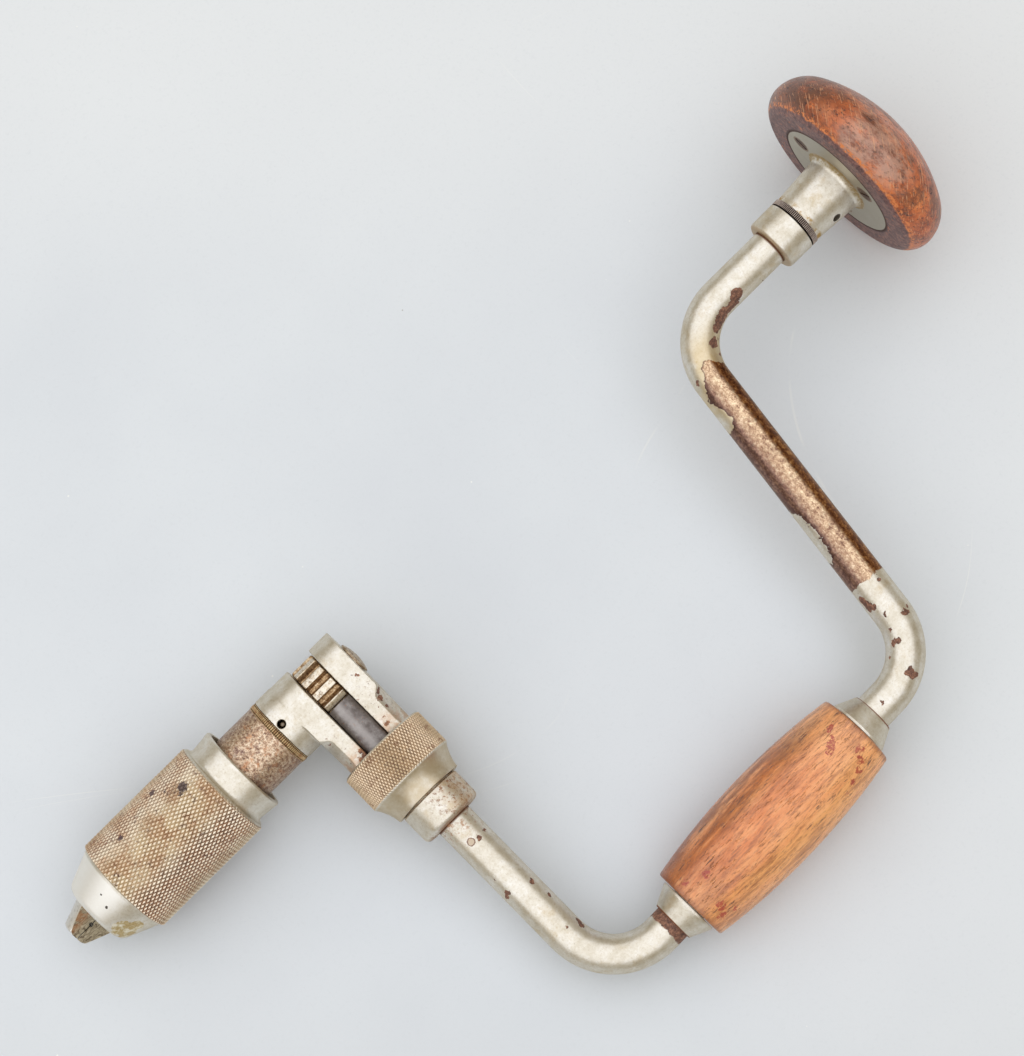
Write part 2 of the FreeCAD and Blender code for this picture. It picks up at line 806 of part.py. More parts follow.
def make_grip():
    """The turned grip, barrel-shaped, free on the rod."""
    half = grip_length / 2
    bore = rod_radius + grip_bore_gap
    return on_grip_axis(turned(
        spot(-half, bore),
        spot(-half, grip_end_radius),
        (spot(0, grip_radius), spot(half, grip_end_radius)),
        spot(half, bore),
    ))


def make_ferrule(side):
    """A ferrule, a short cone fixed on the rod at one end of the grip."""
    near = grip_length / 2 + seam
    far = near + ferrule_length
    ferrule = turned(
        spot(near, rod_radius),
        spot(near, ferrule_wide_radius),
        spot(near + ferrule_rim, ferrule_wide_radius),
        spot(far, rod_radius + ferrule_lip),
        spot(far, rod_radius),
    )
    if side < 0:
        ferrule.rotate(spot(0, 0), z_axis, 180)
    return on_grip_axis(ferrule)


# Head

def make_head_collar():
    """The collar on the crank that takes the head's thrust."""
    corner_x = collar_front + head_collar_round
    corner_y = head_collar_radius - head_collar_round
    return turned(
        spot(collar_front, rod_radius),
        *arc(corner_x, corner_y, head_collar_round, 180, 90),
        spot(collar_rear, head_collar_radius),
        spot(collar_rear, rod_radius),
    )


def make_lock_ring():
    """The thin ring, as wide as the collar, that closes the head's bearing."""
    return turned(
        spot(lock_ring_front, head_journal_radius + passing_gap),
        spot(lock_ring_front, head_collar_radius),
        spot(sleeve_front, head_collar_radius),
        spot(sleeve_front, head_journal_radius + passing_gap),
    )


def make_head_balls():
    """The ring of balls in the head's sleeve, round the crank's journal."""
    return ball_ring(head_ball_radius, head_ball_circle, head_ball_x)


def make_head_flange():
    """The head's sleeve and flange in one turned piece, with an oil hole and three screw holes."""
    race_radius = head_ball_circle + head_ball_radius + ball_gap
    race_floor = head_ball_x + head_ball_radius + ball_gap
    bore_radius = head_journal_radius + running_gap
    flare_start = flange_front - sleeve_flare
    flange = turned(
        spot(sleeve_front, race_radius),
        spot(sleeve_front, sleeve_front_radius),
        *arc(flare_start, sleeve_rear_radius + sleeve_flare, sleeve_flare, -90, 0),
        spot(flange_front, flange_radius),
        spot(flange_rear, flange_radius),
        spot(flange_rear, bore_radius),
        spot(race_floor, bore_radius),
        spot(race_floor, race_radius),
    )
    hole_x = sleeve_front + head_oil_hole_place
    hole = round_bar(
        head_oil_hole_radius,
        round_spindle(head_oil_hole_angle, 0, hole_x),
        round_spindle(head_oil_hole_angle, flange_radius, hole_x),
    )
    return drilled(flange, hole, *screw_blanks())


def screw_angles():
    """The angles of the flange screws, from +Z towards the bow."""
    return [flange_screw_phase + 360 * number / flange_screw_count for number in range(flange_screw_count)]


def screw_blanks():
    """The flange screws without their slots: countersunk head, shank and point."""
    blanks = []
    head_end = flange_front + flange_screw_head_radius - flange_screw_shank_radius
    end = flange_front + flange_screw_length
    for angle in screw_angles():
        screw = turned(
            spot(flange_front, 0),
            spot(flange_front, flange_screw_head_radius),
            spot(head_end, flange_screw_shank_radius),
            spot(end - flange_screw_point, flange_screw_shank_radius),
            spot(end, 0),
        )
        screw.translate(round_spindle(angle, flange_screw_circle))
        blanks.append(screw)
    return blanks


def make_flange_screws():
    """The wood screws that hold the flange in the pad, each slotted along its radius."""
    half = flange_screw_slot_width / 2
    reach = flange_screw_head_radius + overcut
    depths = (flange_front - overcut, flange_front + flange_screw_slot_depth)
    screws = []
    for angle, blank in zip(screw_angles(), screw_blanks()):
        slot = block(depths, (-half, half), (-reach, reach))
        slot.rotate(spot(0, 0), x_axis, angle)
        slot.translate(round_spindle(angle, flange_screw_circle))
        screws.append(blank.cut(slot))
    return Part.makeCompound(screws)


def make_head_washer():
    """The washer between the flange and the nut."""
    return turned(
        spot(washer_front, head_journal_radius),
        spot(washer_front, washer_radius),
        spot(nut_front, washer_radius),
        spot(nut_front, head_journal_radius),
    )


def make_head_nut():
    """The nut on the end of the crank's journal."""
    corner = nut_width / 2 / math.cos(math.pi / nut_sides)
    corners = [round_spindle(360 * number / nut_sides, corner, nut_front) for number in range(nut_sides)]
    nut = closed_face(*corners).extrude(spot(nut_height, 0))
    return nut.cut(spindle_bar(head_journal_radius, nut_front - overcut, nut_rear + overcut))


def make_pad():
    """The turned wooden pad: a domed crown over a flat base, with the flange let in."""
    crown = pad_middle + pad_dome_height
    edge_out = pad_radius - pad_edge_radius
    crown_radius = (pad_dome_height ** 2 + edge_out ** 2 - pad_edge_radius ** 2) / 2
    crown_radius = crown_radius / (pad_dome_height - pad_edge_radius)
    crown_middle = crown - crown_radius
    meeting = math.degrees(math.atan2(edge_out, pad_middle - crown_middle))
    bulge = pad_radius - pad_base_radius
    side_radius = (pad_base_height ** 2 + bulge ** 2) / (2 * bulge)
    side_start = math.degrees(math.acos(-pad_base_height / side_radius))
    pad = turned(
        spot(flange_front, 0),
        *arc(pad_middle, pad_radius - side_radius, side_radius, side_start, 90),
        *arc(pad_middle, edge_out, pad_edge_radius, 90, meeting),
        *arc(crown_middle, 0, crown_radius, meeting, 0),
    )
    recess = spindle_bar(flange_radius + running_gap, flange_front - overcut, flange_rear)
    pocket_end = nut_rear + pad_pocket_spare_depth
    pocket = spindle_bar(pad_pocket_radius, flange_front - overcut, pocket_end)
    return drilled(pad, recess, pocket, *screw_blanks())


nodes = {
    "jaw_a": make_jaw(1),
    "jaw_b": make_jaw(-1),
    "jaw_spring": make_jaw_spring(),
    "chuck_body": make_chuck_body(),
    "chuck_end_screw": make_end_screw(),
    "chuck_shell": make_chuck_shell(),
    "shell_stop_ring": make_stop_ring(),
    "thrust_ring": make_thrust_ring(),
    "chuck_bearing_balls": make_chuck_balls(),
    "ratchet_wheel": make_ratchet_wheel(),
    "wheel_pin": make_wheel_pin(),
    "ratchet_yoke": make_yoke(),
    "pawl_upper": make_pawl(),
    "pawl_lower": make_lower_pawl(),
    "pawl_pins": make_pawl_pins(),
    "pawl_spring": make_pawl_spring(),
    "detent_ball": make_detent_ball(),
    "detent_spring": make_detent_spring(),
    "selector_ring": make_selector(),
    "ring_collar": make_ring_collar(),
    "yoke_cross_pin": make_cross_pin(),
    "crank": make_crank(),
    "grip": make_grip(),
    "lower_ferrule": make_ferrule(-1),
    "upper_ferrule": make_ferrule(1),
    "head_collar": make_head_collar(),
    "head_lock_ring": make_lock_ring(),
    "head_bearing_balls": make_head_balls(),
    "head_flange": make_head_flange(),
    "flange_screws": make_flange_screws(),
    "head_washer": make_head_washer(),
    "head_nut": make_head_nut(),
    "head_pad": make_pad(),
}

os.makedirs("parts", exist_ok=True)
for name, shape in nodes.items():
    shape.exportStep("parts/" + name + ".step")
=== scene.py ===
import cmath
import math

import bmesh
import bpy
import numpy as np
from mathutils import Matrix, Vector


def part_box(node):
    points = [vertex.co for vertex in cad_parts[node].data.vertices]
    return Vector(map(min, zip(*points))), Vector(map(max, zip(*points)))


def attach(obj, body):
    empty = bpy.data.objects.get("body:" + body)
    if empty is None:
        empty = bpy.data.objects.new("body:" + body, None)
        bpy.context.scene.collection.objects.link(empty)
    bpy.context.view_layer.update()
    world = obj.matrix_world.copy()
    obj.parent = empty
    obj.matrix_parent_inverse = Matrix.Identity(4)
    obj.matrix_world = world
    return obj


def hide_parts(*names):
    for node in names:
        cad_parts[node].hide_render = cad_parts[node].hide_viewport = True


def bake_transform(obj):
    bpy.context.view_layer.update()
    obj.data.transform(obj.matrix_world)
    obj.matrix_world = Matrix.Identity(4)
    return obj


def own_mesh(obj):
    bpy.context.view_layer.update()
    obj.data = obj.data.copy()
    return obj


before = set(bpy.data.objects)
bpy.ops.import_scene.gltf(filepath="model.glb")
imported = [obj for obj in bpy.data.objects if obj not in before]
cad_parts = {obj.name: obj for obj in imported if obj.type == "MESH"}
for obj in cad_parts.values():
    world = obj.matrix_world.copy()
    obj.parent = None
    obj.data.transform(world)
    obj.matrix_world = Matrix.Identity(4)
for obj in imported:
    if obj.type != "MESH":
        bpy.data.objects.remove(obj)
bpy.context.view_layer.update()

mm = 0.001


# The bench top: a pale, painted board with a few specks of dust. Its colour is painted lighter towards the far side
# and the right of the view and darker towards the near side: painted light fall-off.
# The brace touches it in three places: the rim of the pad, the belly of the grip and the front of the shell.
def tone(red, green, blue):
    """A colour from its 0 to 255 values on screen."""
    shares = [value / 255 for value in (red, green, blue)]
    return tuple(s / 12.92 if s <= 0.04045 else ((s + 0.055) / 1.055) ** 2.4 for s in shares) + (1,)


class Value:
    """What nodes work out at each place of a finish. Sums, products and the greater of two (|) make more nodes."""

    def __init__(self, finish, socket):
        self.finish, self.socket = finish, socket

    def maths(self, operation, *others):
        return self.finish.value("Math", dict(enumerate((self, *others))), operation=operation)

    def __add__(self, other):
        return self.maths("ADD", other)

    def __sub__(self, other):
        return self.maths("SUBTRACT", other)

    def __mul__(self, other):
        return self.maths("MULTIPLY", other)

    def __or__(self, other):
        return self.maths("MAXIMUM", other)

    def __abs__(self):
        return self.maths("ABSOLUTE")

    def fade(self, start, end, low=0, high=1, kind="SMOOTHSTEP"):
        """Low at start, going smoothly to high at end."""
        inputs = {"Value": self, "From Min": start, "From Max": end, "To Min": low, "To Max": high}
        return self.finish.value("MapRange", inputs, interpolation_type=kind)

    def band(self, middle, width, soft):
        """One within half the width of the middle."""
        return abs(self - middle).fade(width / 2 + soft, width / 2)


class Finish:
    """A finish built from nodes. Places and depths are in millimetres of the brace's own frame."""

    def __init__(self, name, colour, rough, metal):
        self.material = bpy.data.materials.new(name)
        self.material.use_nodes = True
        self.tree = self.material.node_tree
        self.surface = self.tree.nodes["Principled BSDF"]
        metres = self.node("TexCoord").outputs["Object"]
        self.place = self.value("VectorMath", {0: metres, "Scale": 1 / mm}, operation="SCALE")
        self.x, self.y, self.z = self.axes(self.place)
        self.colour, self.rough, self.metal, self.height = colour and tone(*colour), rough, metal, None

    def node(self, kind, inputs=None, **settings):
        made = self.tree.nodes.new("ShaderNode" + kind)
        for key, value in settings.items():
            setattr(made, key, value)
        for key, value in (inputs or {}).items():
            self.put(value, made.inputs[key])
        return made

    def put(self, value, socket):
        """Links a socket to a value of other nodes, or sets it."""
        value = value.socket if isinstance(value, Value) else value
        if isinstance(value, bpy.types.NodeSocket):
            self.tree.links.new(value, socket)
        else:
            socket.default_value = value

    def value(self, kind, inputs, output=0, **settings):
        return Value(self, self.node(kind, inputs, **settings).outputs[output])

    def axes(self, place):
        return [Value(self, socket) for socket in self.node("SeparateXYZ", {0: place}).outputs]

    def noise(self, scale, detail=3, rough=0.5, seed=0, stretch=None, output="Fac"):
        """Noise of so many lumps per millimetre, stretched along an axis where that is below 1."""
        place = self.value("VectorMath", {0: self.place, 1: stretch}, operation="MULTIPLY") if stretch else self.place
        inputs = {"Vector": place, "W": seed, "Scale": scale, "Detail": detail, "Roughness": rough}
        return self.value("TexNoise", inputs, output, noise_dimensions="4D")

    def patches(self, scale, detail, rough, seed, start, end, low=0, high=1, stretch=None):
        """Ragged patches: noise that fades in from one of its levels to another."""
        return self.noise(scale, detail, rough, seed, stretch).fade(start, end, low, high)

    def mottled(self, scale, detail, rough, seed, *stops, stretch=None):
        """Noise in colours; each stop is one of its levels and the red, green and blue there."""
        places = [(level, tone(*colour)) for level, *colour in stops]
        return self.tones(self.noise(scale, detail, rough, seed, stretch), places)

    def cells(self, scale):
        """How far a place is from the nearest of points that are strewn about."""
        return self.value("TexVoronoi", {"Vector": self.place, "Scale": scale}, "Distance", feature="F1")

    def along(self, way):
        return self.value("VectorMath", {0: self.place, 1: way}, "Value", operation="DOT_PRODUCT")

    def distance(self, place, spot):
        return self.value("VectorMath", {0: place, 1: spot}, "Value", operation="DISTANCE")

    def from_line(self, across):
        """How far a place is from a line, by its parts across that line."""
        away = self.value("CombineXYZ", across)
        return self.value("VectorMath", {0: away}, "Value", operation="LENGTH")

    def from_spindle(self):
        return self.from_line({1: self.y, 2: self.z})

    def tones(self, value, stops):
        """A colour ramp of (position, colour) stops."""
        made = self.node("ValToRGB", {0: value})
        ends = made.color_ramp.elements
        ends[0].position, ends[0].color = stops[0]
        ends[1].position, ends[1].color = stops[-1]
        for position, colour in stops[1:-1]:
            ends.new(position).color = colour
        return Value(self, made.outputs[0])

    def mix(self, share, first, second):
        return self.value("Mix", {0: share, 6: first, 7: second}, 2, data_type="RGBA")

    def ragged_place(self, size, amount, seed):
        """The place, shifted about by noise, so that an outline drawn with it is ragged."""
        shift = self.noise(size, 4, 0.6, seed, output="Color")
        shift = self.value("VectorMath", {0: shift, 1: (0.5, 0.5, 0.5)}, operation="SUBTRACT")
        shift = self.value("VectorMath", {0: shift, "Scale": amount}, operation="SCALE")
        return self.value("VectorMath", {0: self.place, 1: shift}, operation="ADD")

    def spots(self, spots, size, amount, seed):
        """One inside ragged spots, each x, y, z and radius."""
        place = self.ragged_place(size, amount, seed)
        share = None
        for x, y, z, radius in spots:
            spot = self.distance(place, (x, y, z)).fade(radius * 1.25 + 0.08, radius * 1.25 - 0.04)
            share = share | spot if share else spot
        return share

    def lay(self, share, colour=None, rough=None, metal=None):
        """Lays a colour, a roughness or a metal share over what is there."""
        if colour is not None:
            colour = tone(*colour) if isinstance(colour, tuple) else colour
            self.colour = self.mix(share, self.colour, colour)
        if rough is not None:
            self.rough = self.value("Mix", {0: share, 2: self.rough, 3: rough})
        if metal is not None:
            self.metal = self.value("Mix", {0: share, 2: self.metal, 3: metal})

    def raise_by(self, share, height):
        """Raises the surface by a height, or sinks it by a negative one."""
        step = share * height
        self.height = self.height + step if self.height else step

    def done(self, **others):
        """Joins what was laid to the surface, and gives the material."""
        sockets = {"Base Color": self.colour, "Roughness": self.rough, "Metallic": self.metal}
        if self.height:
            sockets["Normal"] = self.value("Bump", {"Height": self.height, "Distance": mm, "Strength": 1})
        for name, value in {**sockets, **others}.items():
            self.put(value, self.surface.inputs[name])
        return self.material


def link(piece):
    """Puts a piece into the scene."""
    bpy.context.scene.collection.objects.link(piece)
    return piece


def shape(name, points, faces):
    """An object from points in millimetres of the brace's frame."""
    mesh = bpy.data.meshes.new(name)
    mesh.from_pydata([tuple(point) for point in np.asarray(points) * mm], [], faces)
    mesh.validate()
    mesh.shade_smooth()
    return link(bpy.data.objects.new(name, mesh))


up = Vector((0, 0, 1))
spindle = Vector((1, 0, 0))
pad_low, pad_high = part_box("head_pad")
grip_low, grip_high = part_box("grip")
shell_low, shell_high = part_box("chuck_shell")
pad_base_height = 7.1
shell_nose_length = 12.4
rests = [
    (Vector((pad_low.x + pad_base_height * mm, 0, 0)), pad_high.z),
    ((grip_low + grip_high) / 2, grip_high.z),
    (Vector((shell_low.x + shell_nose_length * mm, 0, 0)), shell_high.z),
]
for attempt in range(8):
    away = (up - spindle * up.x).normalized()
    pad_foot, grip_foot, shell_foot = [middle - away * radius for middle, radius in rests]
    up = (grip_foot - shell_foot).cross(pad_foot - shell_foot).normalized()

bench_half = 1600
bench_gap = 0.05
bench_middle = grip_foot / mm - up * bench_gap
bench_along = up.cross(spindle).cross(up).normalized()
bench_across = up.cross(bench_along)
bench_corners = ((-1, -1), (1, -1), (1, 1), (-1, 1))
bench = shape(
    "bench_top", [bench_middle + (bench_along * a + bench_across * b) * bench_half for a, b in bench_corners],
    [(0, 1, 2, 3)],
)

picture_right = Vector((0.70968, -0.70372, -0.03365))
picture_up = Vector((0.70233, 0.70292, 0.11237))
paint = Finish("bench_paint", None, 0.55, 0)
paint.colour = paint.mottled(0.012, 5, 0.55, 0, (0.3, 210, 214, 218), (0.7, 217, 221, 224))
# Painted light and shade: lighter towards the top and the right of the camera's view, darker towards its bottom.
paint.lay(paint.along(picture_up).fade(130, 260, 0, 0.7), (226, 228, 228))
paint.lay(paint.along(picture_right).fade(150, 320, 0, 0.6), (224, 226, 226))
paint.lay(paint.along(picture_up).fade(-20, -180, 0, 0.7), (199, 202, 203))
dust = paint.cells(0.08).fade(0.036, 0.022) * paint.patches(0.04, 2, 0.5, 7, 0.5, 0.56)
paint.lay(dust * 0.8, (238, 238, 234))
paint.lay(paint.patches(0.9, 4, 0.8, 8, 0.5, 0.7) * 0.2, (198, 202, 205))
for reach, seed in ((0.0032, 3), (0.0045, 5), (0.006, 9)):
    scratch = paint.noise(reach, 1, 0.3, seed).band(0.52, 0.0003, 0.0005)
    kept = paint.patches(0.02, 3, 0.6, seed + 1, 0.5, 0.62)
    paint.lay(scratch * kept * 0.45, (232, 233, 230))
pits = paint.cells(0.032).fade(0.016, 0.009) * paint.patches(0.05, 2, 0.5, 11, 0.47, 0.52)
paint.lay(pits, (150, 142, 132))
bench.data.materials.append(paint.done(**{"Specular IOR Level": 0.25}))


# The camera, where the photographer's was: over the brace, on the bow's side of the spindle.
eye = Vector((90.5, -90, 808.7)) * mm
towards_eye = picture_right.cross(picture_up)
camera = link(bpy.data.objects.new("camera", bpy.data.cameras.new("camera")))
camera.data.lens = 88.5
camera.data.sensor_width = 36
camera.data.clip_start = 0.01
camera.matrix_world = Matrix.Translation(eye) @ Matrix((picture_right, picture_up, towards_eye)).transposed().to_4x4()
bpy.context.scene.camera = camera


# The light: a broad soft window overhead, a little to the left, in a plain pale room.
lamp = link(bpy.data.objects.new("window", bpy.data.lights.new("window", "AREA")))
lamp.data.shape = "DISK"
lamp.data.size = 3.6
lamp.data.energy = 30
lamp.data.color = (0.94, 1, 1.13)
lamp_way = (towards_eye - picture_right * 0.22 + picture_up * 0.12).normalized()
lamp.location = bench_middle * mm + lamp_way * 1.25
lamp.rotation_mode = "QUATERNION"
lamp.rotation_quaternion = lamp_way.to_track_quat("Z", "Y")
lamp.visible_camera = False

room = bpy.data.worlds.new("room")
room.use_nodes = True
room.node_tree.nodes["Background"].inputs["Color"].default_value = tone(205, 197, 179)
room.node_tree.nodes["Background"].inputs["Strength"].default_value = 0.8
bpy.context.scene.world = room
bpy.context.scene.view_settings.view_transform = "Standard"


# The jaws: two forged steel wedges with flats, grooved for the bit's tang, browned and rubbed bright on their edges,
# with a painted highlight along the edge of each flat.
# A bow of spring wire in their sides spreads them as the shell is backed off.
def dress(name, material):
    """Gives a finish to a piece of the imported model."""
    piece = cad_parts[name]
    if not piece.material_slots:
        piece.data.materials.append(material)
    for slot in piece.material_slots:
        slot.material = material


steel = Finish("jaw_steel", (222, 218, 210), 0.44, 1)
jaw_lift = abs(steel.z * 0.866 - steel.y * 0.5)
on_flat = jaw_lift.fade(3.46, 3.52)
flat_brown = steel.mottled(0.9, 6, 0.7, 2, (0.34, 122, 112, 90), (0.5, 162, 150, 126), (0.7, 196, 186, 162))
steel.lay(steel.patches(0.8, 5, 0.65, 0, 0.5, 0.66) * 0.3, (122, 106, 90), 0.45)
steel.lay(on_flat, flat_brown, 0.42, 0.8)
forged_lines = (steel.noise(0.3, 2, 0.45, 4, (0.5, 1, 1)) * 11).maths("FRACT")
steel.lay(on_flat * forged_lines.band(0.5, 0.1, 0.12) * 0.7, (84, 68, 52), 0.5)
jaw_side = steel.y * 0.866 + steel.z * 0.5
edge_rust = jaw_side.fade(1, 3.6) * steel.patches(0.5, 4, 0.7, 5, 0.4, 0.55)
steel.lay(on_flat * edge_rust * 0.7, (160, 112, 74), 0.5)
# Painted highlight over rubbed steel: a thin near-white band along the edge where each flat meets the cone.
steel.lay(jaw_lift.band(3.33, 0.26, 0.08), (244, 240, 232), 0.25, 1)
steel.raise_by(steel.noise(1.2, 5, 0.6), 0.02)
jaw_steel = steel.done()
dress("jaw_a", jaw_steel)
dress("jaw_b", jaw_steel)

steel = Finish("spring_wire", (120, 118, 116), 0.35, 1)
steel.lay(steel.patches(2, 3, 0.5, 0, 0.5, 0.7), (80, 70, 62), 0.5)
spring_wire = steel.done()


def bent_wire(name, places, radius, node):
    """A piece of round spring wire along a line of places, in the stead of a node."""
    line = bpy.data.curves.new(name + "_line", "CURVE")
    line.dimensions, line.bevel_depth, line.bevel_resolution, line.use_fill_caps = "3D", radius * mm, 3, True
    run = line.splines.new("POLY")
    run.points.add(len(places) - 1)
    for point, place in zip(run.points, places):
        point.co = (*(Vector(place) * mm), 1)
    drawn = bpy.data.objects.new(name + "_line", line)
    made = link(bpy.data.objects.new(name, bpy.data.meshes.new_from_object(drawn)))
    bpy.data.objects.remove(drawn)
    made.data.shade_smooth()
    made.data.materials.append(spring_wire)
    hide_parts(node)
    return made


chuck_rest = Matrix.Rotation(math.radians(30), 3, "X")
bow_x = -19.5
for jaw, side in (("jaw_a", 1), ("jaw_b", -1)):
    half_bow = [(bow_x, share * 3.5 * side, 5.75) for share in np.linspace(0, 1, 8)]
    for a in np.linspace(0.2, math.pi / 2, 8):
        half_bow.append((bow_x, (3.5 + 1.5 * math.sin(a)) * side, 4.25 + 1.5 * math.cos(a)))
    half_bow.append((bow_x, 5 * side, 1.95))
    spring = bent_wire("jaw_spring_" + jaw[-1], [chuck_rest @ Vector(place) for place in half_bow], 0.6, "jaw_spring")
    chuck_rest @ Vector((-0.0195, 0.0034 * side, 0))
    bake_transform(spring)


# The chuck body: a turned bar, slotted and threaded in front. Its bare waist has rusted to a fine, mottled crust.
crust = Finish("rusty_steel", None, 0.36, 0.86)
crust.colour = crust.mottled(
    1, 6, 0.8, 2, (0.34, 88, 66, 58), (0.42, 144, 112, 92), (0.5, 196, 166, 138), (0.58, 228, 208, 182),
    (0.7, 244, 234, 216), stretch=(1, 0.8, 0.8),
)
crust.lay(crust.patches(0.35, 5, 0.72, 5, 0.52, 0.64) * 0.65, (196, 132, 86))
crust.lay(crust.patches(0.22, 5, 0.7, 6, 0.5, 0.64) * 0.6, (124, 98, 94))
crust.lay(crust.patches(1.3, 5, 0.78, 8, 0.54, 0.62) * 0.9, (78, 52, 44), 0.6, 0.3)
crust.lay(crust.patches(1.4, 5, 0.78, 9, 0.58, 0.66), (236, 222, 198), 0.34, 0.9)
# Painted shade: the crust is made darker towards both sides of the waist.
painted_side_shade = abs(crust.y).fade(5.5, 11)
crust.lay(painted_side_shade * 0.4, (122, 92, 72))
crust.raise_by(crust.noise(1.7, 6, 0.75, 2), 0.07)
rusty_steel = crust.done()
dress("chuck_body", rusty_steel)


# The chuck shell: turned from bar and nickel plated, with a cone nose, a diamond-knurled barrel and a plain collar.
# Its thread draws the jaws into the nose. The plate has worn off the knurl, and rust sits between the diamonds.
def rounded(outline):
    """The places of an outline of (along, radius) or (along, radius, corner round), with arcs at its corners."""
    places = []
    for number, (along, radius, *size) in enumerate(outline):
        corner = Vector((along, radius))
        if not size:
            places.append(corner)
            continue
        before = (Vector(outline[number - 1][:2]) - corner).normalized() * size[0]
        after = (Vector(outline[(number + 1) % len(outline)][:2]) - corner).normalized() * size[0]
        for share in (0, 0.25, 0.5, 0.75, 1):
            places.append(corner + before * (1 - share) ** 2 + after * share ** 2)
    return places


def arc(start, through, end, steps=12):
    """Outline places on the arc from start to end by way of a third place, without its two ends."""
    first, second, last = [complex(*place) for place in (start, through, end)]
    ratio = (last - first) / (second - first)
    middle = first + (second - first) * (ratio - abs(ratio) ** 2) / (2j * ratio.imag)
    turned = cmath.phase((second - middle) / (first - middle)) + cmath.phase((last - middle) / (second - middle))
    places = [middle + (first - middle) * cmath.exp(1j * turned * step / steps) for step in range(1, steps)]
    return [(place.real, place.imag) for place in places]


sharp_corner = math.radians(40)


def loft(name, rings, closed=True, crossed=False):
    """A skin over rings of places; crossed runs its triangles along the grooves of a diamond knurl."""
    rings = np.asarray(rings, float)
    count, around = rings.shape[:2]
    row, column = np.mgrid[0:count if closed else count - 1, 0:around]
    after = (column + 1) % around
    below = (row + 1) % count * around
    corners = [row * around + column, row * around + after, below + after, below + column]
    if crossed:
        even = (row + column) % 2 == 0
        one = [np.where(even, corners[k], corners[j]) for k, j in ((0, 0), (1, 1), (2, 3))]
        two = [np.where(even, corners[k], corners[j]) for k, j in ((0, 1), (2, 2), (3, 3))]
        faces = np.concatenate([np.stack(three, -1).reshape(-1, 3) for three in (one, two)]).tolist()
    else:
        faces = np.stack(corners, -1).reshape(-1, 4).tolist()
        if not closed:
            faces += [list(range(around)), list(range((count - 1) * around, count * around))]
    made = shape(name, rings.reshape(-1, 3), faces)
    tidy = bmesh.new()
    tidy.from_mesh(made.data)
    bmesh.ops.remove_doubles(tidy, verts=tidy.verts, dist=1e-7)
    bmesh.ops.recalc_face_normals(tidy, faces=tidy.faces)
    tidy.to_mesh(made.data)
    tidy.free()
    made.data.set_sharp_from_angle(angle=sharp_corner)
    if not crossed:
        made.modifiers.new("even_shading", "WEIGHTED_NORMAL").keep_sharp = True
    return made


groove_steps = 8


def turn(name, outline, place=Matrix(), around=160, knurl=None):
    """A piece turned from its half section, about X unless it is placed otherwise.

    A knurl is its grooves around, its cycles per millimetre along, its depth, how flat its crests are and how much
    flatter they are worn on the upper side.
    """
    profile = rounded(outline)
    travels = [0] * len(profile)
    band = max(spot.y for spot in profile)
    if knurl:
        grooves, pace, depth, flat, rubbed = knurl
        around = grooves * groove_steps
        profile, travels, coarse = [], [], profile
        for here, there in zip(coarse, coarse[1:] + coarse[:1]):
            on_band = min(here.y, there.y) > band - 1e-6
            steps = max(1, round((there.x - here.x) * pace * groove_steps)) if on_band else 1
            profile += [here.lerp(there, step / steps) for step in range(steps)]
            travels += [step / groove_steps for step in range(steps)]
    along = np.array([spot.x for spot in profile])[:, None]
    radius = np.array([spot.y for spot in profile])[:, None]
    column = np.arange(around)[None, :]
    angle = column * 2 * math.pi / around + 0 * along
    if knurl:
        travel = np.array(travels)[:, None]
        ways = (column / groove_steps + travel, column / groove_steps - travel)
        valley = np.maximum(*[np.abs(2 * (way % 1) - 1) for way in ways])
        worn = np.sin(2 * angle + 1.3 + 0.13 * along) * np.sin(0.29 * along + 0.8 + angle)
        upper = np.exp(-(((angle + 0.05 + math.pi) % math.tau - math.pi) / 0.55) ** 2)
        crest = flat * (1 + 0.4 * worn) + rubbed * upper * (0.85 + 0.15 * worn)
        cut = band - depth * np.clip((valley - crest) / (1 - crest), 0, 1)
        outside = radius > band - 2 * depth
        radius = np.where(outside, np.minimum(radius, cut), radius)
    rings = np.stack((along + 0 * angle, -radius * np.sin(angle), radius * np.cos(angle)), -1)
    rings = rings @ np.array(place.to_3x3()).T + np.array(place.translation)
    return loft(name, rings, crossed=bool(knurl))


def fit(piece, material, node, body):
    """Gives a piece its material, and puts it in the stead of a node, on the body that it moves with."""
    piece.data.materials.append(material)
    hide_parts(node)
    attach(piece, body)


def nickel(name, seed):
    """Old nickel plate: warm silver with a fine grain, yellowed places and brown specks."""
    plate = Finish(name, None, None, 1)
    plate.colour = plate.mottled(
        0.25, 6, 0.74, seed, (0.33, 203, 194, 176), (0.5, 219, 212, 198), (0.66, 230, 226, 218),
    )
    plate.rough = plate.patches(0.8, 6, 0.72, seed + 1, 0.35, 0.68, 0.3, 0.44)
    grain = plate.patches(1.3, 6, 0.8, seed + 6, 0.48, 0.66)
    plate.lay(grain * 0.4, (172, 154, 124))
    yellowed = plate.patches(0.12, 6, 0.7, seed + 2, 0.52, 0.7)
    plate.lay(yellowed * 0.5, (190, 166, 122), 0.4)
    specks = plate.patches(1.3, 5, 0.76, seed + 3, 0.675, 0.705)
    plate.lay(specks, (120, 86, 62), 0.5, 0.5)
    plate.raise_by(specks, -0.02)
    plate.raise_by(plate.noise(0.45, 6, 0.66, seed + 5), 0.016)
    plate.surface.inputs["Specular Tint"].default_value = (0.9, 0.86, 0.78, 1)
    return plate


def rust_tones(finish, scale, seed):
    """The mottled browns and violets of old rust."""
    return finish.mottled(
        scale, 6, 0.72, seed, (0.3, 62, 42, 38), (0.44, 100, 70, 60), (0.54, 134, 94, 76), (0.64, 174, 130, 104),
        (0.75, 208, 176, 146),
    )


